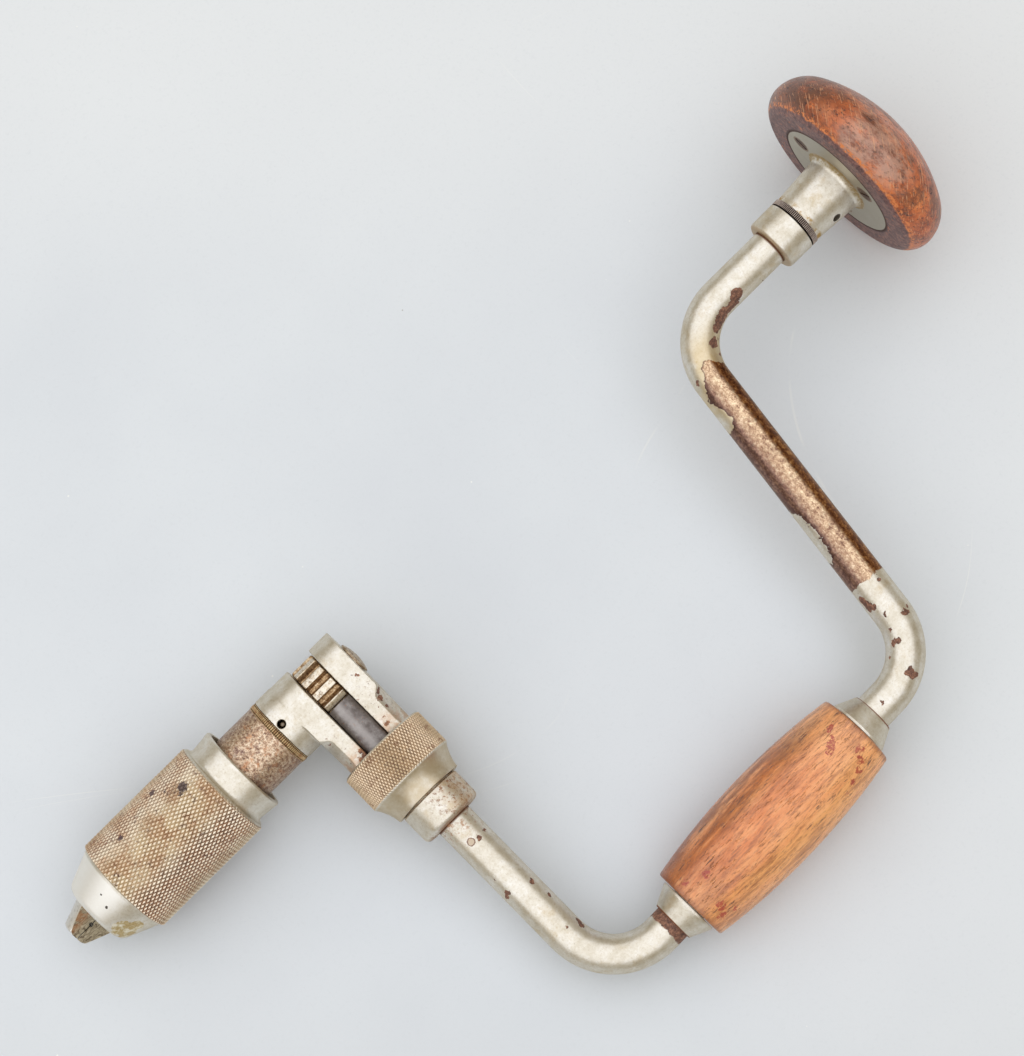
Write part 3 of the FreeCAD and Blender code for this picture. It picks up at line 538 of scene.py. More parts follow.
shell = turn("shell", [
    (-40.5, 7.7, 0.2), (-40.5, 11.34, 2.2), (-28.9, 16.2, 0.2), (-28.3, 16.4, 0.1), (-27.9, 17.4, 0.12),
    (14.1, 17.4, 0.12), (15.1, 16.4, 0.1), *arc((15.1, 16.4), (15.62, 15.35), (16.8, 14.95)), (16.8, 14.95),
    *arc((16.8, 14.95), (19.6, 15.25), (23.1, 15.7)), (23.1, 15.7, 0.3), (23.6, 15.2, 0.1), (23.6, 14, 0.2),
    (21.75, 14), (21.75, 14.75), (20.25, 14.75), (20.25, 14), (17, 14), (17, 13.26), (-26, 13.26),
], knurl=(80, 0.4, 0.45, 0.22, 0.42))
plate = nickel("knurled_nickel", 11)
barrel = plate.x.fade(-28.3, -28) * plate.x.fade(14.6, 14.2)
valley = plate.from_spindle().fade(17.2, 16.98)
knurl_rust = plate.mottled(
    1.1, 5, 0.7, 22, (0.34, 88, 60, 46), (0.48, 132, 98, 72), (0.6, 166, 128, 94), (0.7, 176, 116, 74),
)
plate.lay(barrel, (228, 214, 190), 0.46, 0.95)
worn_tones = plate.mottled(0.9, 6, 0.75, 24, (0.36, 170, 130, 100), (0.5, 206, 176, 144), (0.64, 230, 214, 188))
worn_through = plate.patches(0.14, 6, 0.74, 21, 0.42, 0.6)
plate.lay(barrel * worn_through * 0.8, worn_tones, 0.42, 0.8)
filled = plate.patches(0.14, 5, 0.7, 23, 0.36, 0.6, 0.5, 0.95)
# Rust fills the valleys more towards both sides of the barrel than along its middle: rust, and painted shade on the
# sides.
rust_and_shade_to_sides = abs(plate.y - 1).fade(3, 11, 0.24, 1)
plate.lay(barrel * valley * filled * rust_and_shade_to_sides, knurl_rust, 0.6, 0.3)
low_rust = plate.mottled(0.9, 5, 0.75, 36, (0.38, 84, 54, 42), (0.52, 130, 90, 66), (0.66, 168, 122, 88))
# Dark rust in the valleys on both sides of the barrel: rust, and painted shade on the barrel's sides.
far_sides = plate.y.fade(-5, -11) | plate.y.fade(8, 13, 0, 0.85)
side_rust_and_shade = far_sides * plate.from_spindle().fade(17.3, 17.05)
plate.lay(barrel * side_rust_and_shade * 0.85, low_rust, 0.55, 0.4)
# Painted highlight: bright glints laid on the knurl's crests on the bow's side of the barrel.
painted_crest_glints = plate.y.fade(-3, -9) * plate.from_spindle().fade(17.26, 17.36)
plate.lay(barrel * painted_crest_glints * 0.75, (250, 240, 222), 0.38, 0.95)
# Painted highlight: a near-white band on the nose, from its middle towards the bow's side.
painted_nose_highlight = plate.x.fade(-28.6, -29.4) * plate.y.fade(-9, -2)
plate.lay(painted_nose_highlight * 0.85, (252, 250, 245), 0.5)

rust_patches = plate.patches(0.4, 6, 0.82, 26, 0.55, 0.61) * plate.patches(1, 4, 0.7, 27, 0.42, 0.52)
plate.lay(barrel * rust_patches * 0.85, rust_tones(plate, 0.9, 28), 0.55, 0.3)
dark_spots = plate.spots([
    (7.4, 7.3, 15.8, 1.3), (5.4, 6, 16.3, 0.6), (-0.8, 13.3, 11.2, 0.8), (-17, 9.7, 14.4, 0.7),
    (2.4, 10.4, 13.9, 0.4),
], 0.7, 3, 35)
plate.lay(dark_spots * 0.85, (78, 60, 66), 0.55, 0.3)
flaking = plate.spots([
    (-36.5, -10.5, 8.6, 2.8), (-33.6, -12.6, 8, 2.2), (-37, -12.2, 5, 2.2), (-38.5, -9.5, 8, 1.4),
], 0.5, 3, 31)
flaked_tones = plate.mottled(
    0.28, 5, 0.68, 32, (0.4, 238, 232, 216), (0.48, 210, 196, 160), (0.53, 172, 142, 78), (0.6, 198, 176, 128),
    (0.68, 150, 122, 70),
)
plate.lay(flaking * 0.9, flaked_tones, 0.42, 0.7)
plate.lay(plate.spots([(-34.7, -2.5, 13.6, 0.35), (-33, 1.5, 14.4, 0.2)], 0.9, 1, 37), (84, 76, 70), 0.5, 0.5)
fit(shell, plate.done(), "chuck_shell", "shell")

steel = Finish("stop_ring_steel", (96, 88, 80), 0.4, 1)
steel.lay(steel.patches(1.5, 4, 0.5, 0, 0.5, 0.65), (96, 70, 52), 0.55, 0.5)
dress("shell_stop_ring", steel.done())


# The bearing between chuck and hub: a ring with a fine straight knurl and a ring of steel balls behind it.
# The ring is locked to the chuck body, and its knurl has gone the yellow brown of old brass.
thrust = turn("thrust_ring_turned", [
    (37.9, 6), (37.9, 11.75, 0.08), (38.15, 11.75), (38.2, 11.4), (38.34, 11.4), (38.38, 11.8, 0.05),
    (39.62, 11.8, 0.05), (39.66, 11.4), (39.8, 11.4), (39.85, 11.75), (40.1, 11.75, 0.08), (40.1, 9.7),
    (40.52, 9.7, 0.1), (40.52, 6),
], knurl=(100, 0, 0.3, 0.45, 0))
steel = Finish("thrust_ring_steel", (186, 160, 118), 0.38, 0.9)
steel.lay(steel.patches(0.5, 5, 0.65, 4, 0.42, 0.66), (150, 112, 76), 0.5)
steel.lay(steel.from_spindle().fade(11.72, 11.5), (96, 66, 44), 0.6, 0.3)
fit(thrust, steel.done(), "thrust_ring", "chuck")

steel = Finish("bright_steel", (128, 116, 102), 0.3, 1)
steel.lay(steel.patches(1.8, 4, 0.5, 0, 0.5, 0.7), (150, 132, 112), 0.3)
bright_steel = steel.done()
for name in ("chuck_bearing_balls", "head_bearing_balls", "detent_ball"):
    dress(name, bright_steel)


# The ratchet wheel: twelve straight teeth cut in a steel ring, pinned to the chuck body between the yoke's ears.
# Its crests are rubbed bright, and brown grease and rust fill the gaps.
def about_spindle(out, side, angle):
    """A place so far out along a direction from the spindle, and so far to its side, as (up, towards the bow)."""
    place = complex(out, side) * cmath.exp(1j * angle)
    return place.real, place.imag


wheel_teeth = 12
wheel_pitch = math.tau / wheel_teeth
edge_out, edge_side, root_out, root_side = 10.193, 1.478, 8.2, 0.73
gap_corners = (
    (edge_out, -edge_side, 0.3), (root_out, -root_side, 0.4), (root_out, root_side, 0.4), (edge_out, edge_side, 0.3),
)
wheel_outline = []
for number in range(wheel_teeth):
    gap = math.radians(8) + wheel_pitch * (number + 0.5)
    for out, side, size in gap_corners:
        wheel_outline.append((*about_spindle(out, side, gap), size))
    crest = [about_spindle(edge_out, edge_side, gap), about_spindle(10.3, 0, gap + wheel_pitch / 2)]
    wheel_outline += arc(*crest, about_spindle(edge_out, -edge_side, gap + wheel_pitch), 4)
wheel_edge = np.array([tuple(place) for place in rounded(wheel_outline)])
wheel_reach = np.linalg.norm(wheel_edge, axis=1, keepdims=True)
wheel_rings = []
for along, inset in (
    (54.47, None), (54.47, 0.75), (54.56, 0.42), (54.78, 0.16), (55.1, 0),
    (62.54, 0), (62.86, 0.16), (63.08, 0.42), (63.17, 0.75), (63.17, None),
):
    ring = wheel_edge * ((6 if inset is None else wheel_reach - inset) / wheel_reach)
    wheel_rings.append(np.column_stack((np.full(len(ring), along), -ring[:, 1], ring[:, 0])))
wheel = loft("wheel", wheel_rings)
steel = Finish("dark_steel", None, 0.36, 0.9)
steel.colour = steel.mottled(
    0.8, 6, 0.74, 3, (0.36, 98, 74, 54), (0.48, 158, 130, 98), (0.58, 200, 176, 142), (0.7, 232, 222, 202),
)
out = steel.from_spindle()
greased = steel.mottled(
    1, 6, 0.78, 6, (0.36, 86, 60, 42), (0.47, 144, 112, 78), (0.56, 190, 160, 120), (0.66, 240, 228, 204),
)
steel.lay(out.fade(9.7, 9), greased, 0.3, 0.75)
steel.lay(out.fade(10.1, 10.26) * steel.patches(0.9, 5, 0.75, 7, 0.6, 0.46, 0.2, 0.85), (232, 224, 208), 0.26, 1)
dark_steel = steel.done()
fit(wheel, dark_steel, "ratchet_wheel", "chuck")
dress("wheel_pin", rusty_steel)
steel = Finish("end_screw_steel", (186, 170, 146), 0.4, 0.9)
steel.lay(steel.patches(0.9, 6, 0.76, 0, 0.46, 0.62), (138, 108, 82), 0.5, 0.6)
dress("chuck_end_screw", steel.done())


# The ratchet yoke: a steel forging, bored for the chuck body's journals, with a sawn slot between its two ears.
# Its stem is turned below the ears. It is nickel plated, and its edges are rubbed round.
def prism(way, low, high, outline):
    """A block from low to high along an axis, with an outline of places on the two axes that follow it."""
    axis = "XYZ".index(way)
    rings = np.zeros((2, len(outline), 3))
    rings[:, :, axis] = [[low], [high]]
    rings[:, :, (axis + 1) % 3], rings[:, :, (axis + 2) % 3] = np.array(outline).T
    return loft("block", rings, closed=False)


def bar(way, low, high, radius, place=(0, 0)):
    """A round bar from low to high along an axis, at a place on the two axes that follow it."""
    turns = np.arange(96) * math.tau / 96
    return prism(way, low, high, [(place[0] + radius * math.cos(a), place[1] + radius * math.sin(a)) for a in turns])


def cut(piece, operation, tool):
    step = piece.modifiers.new("cut", "BOOLEAN")
    step.operation, step.object, step.solver = operation, tool, "EXACT"


def worked_mesh(piece):
    """The mesh of a piece with its modifiers worked out."""
    return bpy.data.meshes.new_from_object(piece.evaluated_get(bpy.context.evaluated_depsgraph_get()))


def carve(name, blank, steps, grain, rubs):
    """A piece cut from a blank by steps of (operation, tool), whose edges are then rubbed a little round."""
    for operation, tool in steps:
        cut(blank, operation, tool)
    skin = blank.modifiers.new("skin", "REMESH")
    skin.mode, skin.voxel_size = "VOXEL", grain * mm
    rub = blank.modifiers.new("rub", "SMOOTH")
    rub.factor, rub.iterations = 0.5, rubs
    made = link(bpy.data.objects.new(name, worked_mesh(blank)))
    made.data.shade_smooth()
    for tool in [blank] + [tool for operation, tool in steps]:
        bpy.data.objects.remove(tool)
    return made


stem_x = 58.82
rod = 6.2
hub_front, ear_front, ear_rear = 40.22, 46.22, 71.42
slot_front, slot_rear = 54.22, 63.42
on_stem = Matrix.Translation((stem_x, 0, 0)) @ Matrix(((0, 1, 0), (-1, 0, 0), (0, 0, 1))).to_4x4()
ear_radius = 11.7
ear_turns = np.radians(np.linspace(82.86, 277.14, 80))
ear_round = [(-ear_radius * math.cos(a), ear_radius * math.sin(a)) for a in ear_turns]
ear_flat = [(-25.5, -8.6), (-43.7, -8.4), (-43.7, 8.4), (-25.5, 8.6)]
stem_limits = turn("limits", [
    (-20, 0), (-20, 40), (11.4, 40), (11.4, 16.8), (14.3, 13.7, 1.2), (23, 12.8), (43.7, 12.8), (43.7, 0),
], on_stem)
yoke = carve("yoke", prism("X", ear_front, ear_rear, ear_flat + ear_round), [
    ("INTERSECT", stem_limits),
    ("UNION", bar("Y", -55, -41.5, 9.4, (0, stem_x))),
    ("UNION", bar("X", hub_front, ear_front + 0.1, 11.9)),
    ("DIFFERENCE", prism("X", slot_front, slot_rear, [(-41.5, -24), (-41.5, 24), (24, 24), (24, -24)])),
    ("DIFFERENCE", bar("X", 39, 55, 6.06)),
    ("DIFFERENCE", bar("X", 63, 72, 5.06)),
    ("DIFFERENCE", bar("X", 39, 43.62, 10)),
    ("DIFFERENCE", bar("Z", 0, 24, 1.4, (42.07, 0))),
    ("DIFFERENCE", bar("Y", -56, -46, rod, (0, stem_x))),
], 0.28, 5)
plate = nickel("worn_nickel", 41)
ear_brown = plate.patches(0.75, 6, 0.76, 43, 0.58, 0.64)
ear_place = plate.y.fade(2, -12)
ear_rust = rust_tones(plate, 1.2, 44)
plate.lay(ear_brown * ear_place * 0.8, ear_rust, 0.5, 0.35)
plate.lay(plate.spots([
    (68.4, -5, 10.6, 0.6), (69.2, -5.6, 10.5, 0.5), (70.2, -8, 10, 0.3), (70.3, -13.2, 8.9, 0.8),
    (69.6, -15.4, 8.6, 0.9), (68.2, -15.6, 9.2, 0.5), (67, -17, 9.2, 0.4), (68.8, -18.6, 8.4, 0.5),
    (66.8, -19, 8.6, 0.5), (66, -20.5, 8.6, 0.6), (67.4, -21.9, 8.5, 0.5), (65.2, -22.4, 8.5, 0.8),
    (49.3, -12, 9, 0.5), (53.6, -22.6, 8.5, 0.8), (53.9, -24.6, 8.5, 1.1), (51.8, -24.9, 8.5, 0.7),
    (48, -14.8, 8.8, 0.4),
], 0.8, 3.2, 46), ear_rust, 0.5, 0.4)
stained = plate.y.fade(-17, -24.5) * plate.patches(0.3, 6, 0.75, 47, 0.4, 0.58)
plate.lay(stained * 0.6, (196, 146, 104), 0.44, 0.85)
fit(yoke, plate.done(), "ratchet_yoke", "frame")
for name in ("yoke_cross_pin", "pawl_pins"):
    dress(name, dark_steel)


def coil(name, foot, top, radius, turns):
    """A compression spring wound from its foot to its top, in the stead of the node of its name."""
    way = (Vector(top) - Vector(foot)).normalized()
    thick, steps = radius / 6, 18
    places = []
    for step in range(turns * steps + 1):
        angle, share = step * math.tau / steps, step / (turns * steps)
        round_it = Vector((math.cos(angle), math.sin(angle), 0)) * (radius - thick)
        middle = (Vector(foot) + way * thick).lerp(Vector(top) - way * thick, share)
        places.append(middle + way.to_track_quat("Z", "Y") @ round_it)
    wound = bent_wire(name + "_coil", places, thick, name)
    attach(wound, "frame")
    return wound


# The two pawls: blued steel bars that rock on pins across the slot. The upper one is down in the wheel's teeth,
# and the lower one is held off them. A small spring spreads their tails.
steel = Finish("pawl_steel", None, None, 0.85)
steel.colour = steel.mottled(0.5, 6, 0.68, 5, (0.34, 94, 86, 82), (0.52, 118, 110, 106), (0.68, 142, 136, 132))
steel.rough = steel.patches(1.2, 4, 0.6, 0, 0.35, 0.65, 0.36, 0.5)
# Painted highlight: a lighter stripe along the middle of each pawl's crown.
steel.lay(steel.x.band(57.9, 0.6, 1.9) * 0.5, (180, 174, 170), 0.38)
steel.lay(steel.patches(1.1, 5, 0.7, 8, 0.62, 0.68), (150, 100, 66), 0.55, 0.5)
pawl_steel = steel.done()
pawl_side = [(41.2, 8.1), (7.551, 8.1), (7.551, 4.831), (9.469, 5.195), (12.187, 3.2), (41.2, 3.2)]
pawl_front, pawl_rear = 54.47, 63.17
pin_y, pin_z = -33.5, 5.65
for name, side, lift in (("pawl_upper", 1, 0), ("pawl_lower", -1, 8)):
    crown = [(pawl_front, 7), *arc((pawl_front, 7), (stem_x, 8.1), (pawl_rear, 7), 16), (pawl_rear, 7)]
    section = [(z * side, x) for x, z in crown + [(pawl_rear, 3.2), (pawl_front, 3.2)]]
    pawl = carve(
        name + "_bar",
        prism("X", pawl_front, pawl_rear, [(-out, z * side) for out, z in pawl_side]),
        [("INTERSECT", prism("Y", -42, -7, section)), ("DIFFERENCE", bar("X", 54, 64, 1.56, (pin_y, pin_z * side)))],
        0.2,
        4,
    )
    pin = Matrix.Translation(Vector((stem_x, pin_y, pin_z * side)) * mm)
    pawl.data.transform(pin @ Matrix.Rotation(math.radians(-lift), 4, "X") @ pin.inverted())
    fit(pawl, pawl_steel, name, name)
tail_spring = coil("pawl_spring", (stem_x, -39, -1.912), (stem_x, -39, 2.9), 1.6, 7)
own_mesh(tail_spring)


# The selector ring: a nickel-plated collar with a diamond-knurled band and a hollowed skirt, turned by hand to set
# the ratchet. A ball in the yoke's cheek clicks in a groove inside it. Brown grime fills the knurl.
selector = turn("selector", [
    (25.5, 12.86, 0.1), (25.5, 14.9, 0.1), (26.2, 15.6, 0.1), (38.5, 15.6, 0.1), (38.7, 15.35), (38.9, 15.3, 0.1),
    *arc((38.9, 15.2), (42.75, 13.25), (46.6, 12.4)), (46.6, 12.4, 0.35), (46.6, 9.46, 0.1), (44, 9.46), (44, 12.86),
    (41.3, 12.86), (41.3, 13.46), (38.7, 13.46), (38.7, 12.86),
], on_stem, knurl=(88, 0.482, 0.36, 0.2, 0))
plate = nickel("selector_nickel", 61)
out = plate.from_line({0: plate.x - stem_x, 2: plate.z})
along = plate.y * -1
knurled = along.fade(25.9, 26.2) * along.fade(38.6, 38.45)
grime = plate.mottled(0.6, 6, 0.7, 64, (0.36, 92, 64, 46), (0.5, 136, 104, 76), (0.66, 180, 150, 116))
plate.lay(knurled, (230, 208, 178), 0.4, 0.95)
plate.lay(knurled * out.fade(15.5, 15.26) * 0.9, grime, 0.55, 0.35)
plate.lay(knurled * plate.patches(0.3, 6, 0.78, 66, 0.54, 0.62) * 0.75, (132, 92, 66), 0.55, 0.35)
skirt = along.fade(38.8, 39.4) * plate.patches(0.25, 6, 0.74, 68, 0.3, 0.6, 0.3, 0.75)
plate.lay(skirt, (192, 174, 142))
fit(selector, plate.done(), "selector_ring", "selector")
coil("detent_spring", (65.22, -40, 0), (69.19, -40, 0), 1.34, 7)


# The ring collar: a plain nickel-plated collar pressed on the crank's lower leg, closing the selector from below.
plate = nickel("collar_nickel", 81)
foot_brown = plate.patches(0.75, 6, 0.78, 83, 0.52, 0.58)
plate.lay(foot_brown * plate.x.fade(53, 63), (146, 104, 78), 0.5, 0.5)
tanned = plate.x.fade(58, 66) * plate.patches(0.3, 6, 0.75, 87, 0.4, 0.56)
plate.lay(tanned * 0.55, (204, 172, 136), 0.45, 0.9)
rims = (plate.y.fade(-47.5, -46.9) | plate.y.fade(-56.6, -57.5)) * plate.patches(0.4, 5, 0.75, 86, 0.4, 0.55)
plate.lay(rims * 0.8, (150, 106, 74), 0.5, 0.5)
ring_collar = turn("ring_collar_turned", [
    (46.9, 9.4), (46.9, 10.55), (47.3, 10.95, 0.1), (57.6, 10.95, 2.3), (57.6, rod, 0.25), (55, rod), (55, 9.4),
], on_stem)
fit(ring_collar, plate.done(), "ring_collar", "frame")


# The crank: one round steel rod, bent cold to a bow and nickel plated. Where hands wore it, the plate has flaked to
# brown steel, most of all on the upper leg, and small chips of rust run along the bends.
bend, bend_steps = 20.5, 28
journal, journal_front, journal_rear = 5, 266.12, 295.42
crank_corners = ((stem_x, -46), (stem_x, -127.9), (198.37, -125.35), (215.62, 0), (journal_front, 0))
crank_corners = [Vector(place) for place in crank_corners]
crank_line = [(crank_corners[0], (crank_corners[1] - crank_corners[0]).normalized())]
for before, corner, after in zip(crank_corners, crank_corners[1:], crank_corners[2:]):
    comes, goes = (corner - before).normalized(), (after - corner).normalized()
    turned = comes.angle_signed(goes)
    start = corner - comes * bend * math.tan(abs(turned) / 2)
    middle = start + Vector((-comes.y, comes.x)) * math.copysign(bend, -turned)
    for step in range(bend_steps + 1):
        swing = Matrix.Rotation(-turned * step / bend_steps, 2)
        crank_line.append((middle + swing @ (start - middle), swing @ comes))
crank_line.append((crank_corners[-1], Vector((1, 0))))
crank_rings = []
crank_turns = np.arange(72) * math.tau / 72
for place, way in crank_line + [(Vector((x, 0)), Vector((1, 0))) for x in (journal_front, journal_rear)]:
    size = rod if len(crank_rings) < len(crank_line) else journal
    across = np.outer(np.cos(crank_turns), (-way.y, way.x, 0)) + np.outer(np.sin(crank_turns), (0, 0, 1))
    crank_rings.append(np.array((place.x, place.y, 0)) + across * size)
crank = loft("crank_rod", crank_rings, closed=False)
plate = nickel("crank_nickel", 101)
leg_x, leg_y = plate.axes(plate.ragged_place(0.45, 4, 103))[:2]
up_leg = leg_x * 0.13633 + leg_y * 0.99066 + 97.134
off_leg = leg_x * 0.99066 - leg_y * 0.13633 - 213.606
edge_places = (
    (39, -8), (40.5, -6.6), (42, -4.7), (48, -4.1), (52.5, -3.8), (54, -4.8), (57, -4.6), (60, -5.9), (62, -6.9),
    (91.5, -7), (93, -4.35), (95, -3.5), (97, -3.3), (100, -4.3), (103, -5.1), (106.5, -4.8), (108.5, -3.8),
    (111, -2.4), (114, -1.1), (115.3, 0.3),
)
edge_tones = [(up / 120, ((off + 8) / 16,) * 3 + (1,)) for up, off in edge_places]
flaked_edge = plate.tones(up_leg.fade(0, 120, kind="LINEAR"), edge_tones)
flaked_edge = flaked_edge * 16 - 8
past_edge = off_leg - flaked_edge
flaked = past_edge.fade(0, 0.25) * up_leg.fade(29.6, 30) * (up_leg + off_leg * 0.8 - 115.5).fade(0.3, 0)
yellow_edge = past_edge.fade(-3.5, -0.3) * up_leg.fade(60, 96) * up_leg.fade(127, 116)
plate.lay(yellow_edge * 0.5, (206, 178, 120), 0.4, 0.9)
bare_steel = plate.mottled(
    0.9, 6, 0.8, 105, (0.36, 92, 62, 50), (0.42, 152, 118, 96), (0.5, 204, 170, 138), (0.58, 238, 214, 178),
    (0.68, 252, 236, 204), stretch=(1, 0.8, 1),
)
dark_patina_and_shade = plate.mottled(
    1, 6, 0.8, 110, (0.38, 76, 52, 52), (0.5, 120, 88, 80), (0.62, 172, 134, 114), stretch=(1, 0.8, 1),
)
deep_brown = plate.mottled(
    0.9, 6, 0.8, 106, (0.38, 68, 36, 22), (0.5, 122, 74, 42), (0.6, 180, 128, 78), (0.7, 232, 198, 150),
    stretch=(1, 0.8, 1),
)
# Across the upper leg the bare steel is darkest towards both sides of the rod and palest along its middle: brown
# patina, with painted shade on the sides and a painted highlight along the middle.
rough_off = plate.x * 0.99066 - plate.y * 0.13633 - 213.606 + plate.noise(0.4, 5, 0.7, 109)
bare_steel = plate.mix(rough_off.fade(1.9, 3.6), bare_steel, deep_brown)
pale_patina_and_highlight = plate.mottled(
    1.1, 6, 0.8, 115, (0.38, 94, 64, 50), (0.5, 170, 132, 106), (0.62, 236, 212, 182), stretch=(1, 0.8, 1),
)
bare_steel = plate.mix(rough_off.fade(0.7, -1) * 0.7, bare_steel, pale_patina_and_highlight)
bare_steel = plate.mix(rough_off.fade(-0.9, -3.4) * 0.9, bare_steel, dark_patina_and_shade)
blotches = plate.patches(0.2, 6, 0.76, 114, 0.5, 0.62, stretch=(1, 0.6, 1))
bare_steel = plate.mix(blotches * 0.48, bare_steel, tone(100, 70, 62))
edge_violet = past_edge.fade(1.5, 0.1) * 0.75
bare_steel = plate.mix(edge_violet, bare_steel, tone(78, 52, 52))
plate.lay(flaked, bare_steel, 0.3, 0.86)
chips = plate.spots([
    (204.5, -98, 5.8, 0.6), (196.5, -99.3, 3, 1.3), (196.3, -101.3, 3.2, 1.5), (196.9, -103, 4.3, 0.9),
    (198, -106.8, 5.5, 0.5), (202.8, -110.8, 5.6, 1.1), (204.8, -109.9, 4.4, 0.5), (195.6, -111.5, 4.7, 0.5),
    (193.5, -114.9, 4.5, 0.7), (194.7, -115.3, 5.4, 0.8), (189.5, -117.3, 3.1, 0.4), (190.6, -124.8, 6, 1.3),
    (190.9, -126.3, 5.4, 1.2), (177.7, -125.4, 6.2, 0.5), (60.6, -67.3, 5.9, 0.5), (63.6, -66.9, 4, 0.4),
    (54.9, -85.3, 4.8, 0.8), (54, -86.1, 3.9, 0.8), (62.8, -87.8, 4.7, 0.8), (63.8, -95, 3.7, 0.6),
    (64.4, -106.6, 2.7, 0.9), (64.3, -108, 2.9, 0.9), (60.7, -105.7, 5.9, 0.4), (55.1, -79.5, 4.9, 0.3),
    (237.1, -3.8, 4.9, 1.8), (235.3, -5.1, 3.5, 1.5), (233.1, -5.1, 3.5, 1.3), (231, -5, 3.9, 1.6),
    (229.3, -5.6, 3.4, 1.9), (227.2, -6.2, 3.6, 1.6), (225.3, -6.9, 4.1, 1.3), (221.3, -9.7, 4.5, 1.5),
    (220.5, -13.2, 2.7, 0.5), (223.8, -9.2, 2.7, 0.4), (208.6, -14.9, 3.6, 0.7), (247.1, -6, 1.3, 0.4),
], 0.6, 3.4, 107)
chip_rust = rust_tones(plate, 1.2, 108)
plate.lay(chips, chip_rust, 0.6, 0.25)
ferrule_rust = plate.axes(plate.ragged_place(0.45, 2.6, 111))[0].fade(81.2, 81.7) * plate.x.fade(86.5, 86)
plate.lay(ferrule_rust, chip_rust, 0.6, 0.25)
seams = plate.y.fade(-58.6, -57.9) * plate.x.fade(100, 90) | plate.x.fade(255.5, 256.1)
plate.lay(seams, (104, 66, 42), 0.55, 0.3)
old_mark = plate.distance(plate.ragged_place(0.7, 1.2, 112), (58, -66.5, 6.1))
plate.lay(old_mark.fade(1.2, 1) * 0.7, (184, 160, 132), 0.45, 0.85)
plate.lay(old_mark.band(1.2, 0.16, 0.14) * 0.85, (118, 78, 58), 0.55, 0.4)
leg_stain = plate.y.fade(-68, -60) * plate.patches(0.6, 6, 0.78, 113, 0.52, 0.6)
plate.lay(leg_stain * plate.x.fade(100, 90) * 0.75, (170, 122, 84), 0.5, 0.6)
plate.raise_by(chips | flaked | ferrule_rust, -0.08)
fit(crank, plate.done(), "crank", "frame")


# The grip: a barrel of close-grained hardwood, bored to turn freely on the bow. Its varnish has worn to an orange
# brown with long dark pores, and specks of the old red varnish are left near its ends.
grip_x, grip_y, grip_tilt = 129.47, -126.61, math.radians(1.047)
on_bow = Matrix.Translation((grip_x, grip_y, 0)) @ Matrix.Rotation(grip_tilt, 4, "Z")
grip = turn("grip_barrel", [
    (-37.25, 6.3), (-37.25, 12.95, 0.7), *arc((-37.25, 12.95), (0, 16), (37.25, 12.95), 24), (37.25, 12.95, 0.7),
    (37.25, 6.3),
], on_bow)
wood = Finish("grip_wood", None, None, 0)
wood.colour = wood.mottled(
    0.14, 6, 0.68, 2, (0.32, 176, 92, 44), (0.43, 216, 124, 64), (0.54, 234, 150, 90), (0.68, 244, 172, 114),
    stretch=(0.22, 1, 1),
)
golden = wood.y.fade(-126, -137) * wood.patches(0.2, 5, 0.66, 14, 0.4, 0.56, stretch=(0.22, 1, 1))
wood.lay(golden * 0.65, (232, 160, 80))
low_end = wood.x.fade(118, 96) * wood.patches(0.2, 5, 0.66, 16, 0.36, 0.56, stretch=(0.3, 1, 1))
wood.lay(low_end * 0.45, (150, 84, 44))
shaded = wood.y.fade(-122, -114) * wood.patches(0.2, 5, 0.66, 15, 0.38, 0.56, stretch=(0.22, 1, 1))
wood.lay(shaded * 0.8, (134, 76, 34))
# Painted light: the barrel is made lighter on its side away from the spindle and towards its end nearer the head.
painted_light_side_and_end = wood.y.fade(-128, -139) | wood.x.fade(138, 160)
wood.lay(painted_light_side_and_end * 0.45, (255, 192, 130))
wood.rough = wood.patches(0.4, 4, 0.6, 0, 0.35, 0.65, 0.26, 0.4)
figure = wood.noise(0.5, 6, 0.7, 4, (0.13, 1, 1))
wood.lay(figure.fade(0.48, 0.6) * 0.5, (142, 78, 42))
wood.lay(figure.fade(0.44, 0.34) * 0.4, (238, 172, 116))
fine_pores = wood.patches(1.9, 5, 0.8, 5, 0.5, 0.6, stretch=(0.13, 1, 1))
wood.lay(fine_pores * 0.5, (120, 64, 34))
pores = wood.patches(1.5, 5, 0.78, 6, 0.57, 0.63, stretch=(0.13, 1, 1))
# Painted sheen: the dark pores are faded along the barrel's upper middle.
pores_under_painted_sheen = abs(wood.y + 125).fade(2, 9, 0.4, 0.85)
wood.lay(pores * pores_under_painted_sheen, (88, 48, 32), 0.5)
streaks = wood.patches(0.8, 3, 0.62, 9, 0.65, 0.69, stretch=(0.12, 1, 1))
wood.lay(streaks * 0.8, (62, 40, 38), 0.5)
end_dark = wood.x.fade(94.5, 92.4) | wood.x.fade(164.5, 166.6)
wood.lay(end_dark * 0.55, (112, 58, 34))
varnish = wood.spots([
    (160.5, -119, 12.5, 1), (159, -121.5, 13, 0.8), (157, -123, 14, 1.3), (155, -124, 14, 1), (162, -130, 12, 1.3),
    (160, -132.5, 12, 1.2), (157.5, -134.5, 11.5, 0.9), (153.5, -136, 11.5, 0.9), (150, -137.5, 11, 0.6),
    (146.5, -139, 10.5, 0.7), (102, -124, 13.8, 1), (96, -121, 12, 0.8), (99, -133.5, 11.5, 1.4), (97, -136, 10, 1.1),
    (101.5, -137, 9.5, 0.8),
], 0.7, 4.6, 12)
varnish = varnish * wood.patches(0.9, 5, 0.8, 13, 0.42, 0.5)
wood.lay(varnish * 0.85, (162, 52, 34), 0.3)
wood.raise_by(pores, -0.06)
wood.raise_by(streaks, -0.08)
fit(grip, wood.done(**{"Specular IOR Level": 0.8}), "grip", "grip")


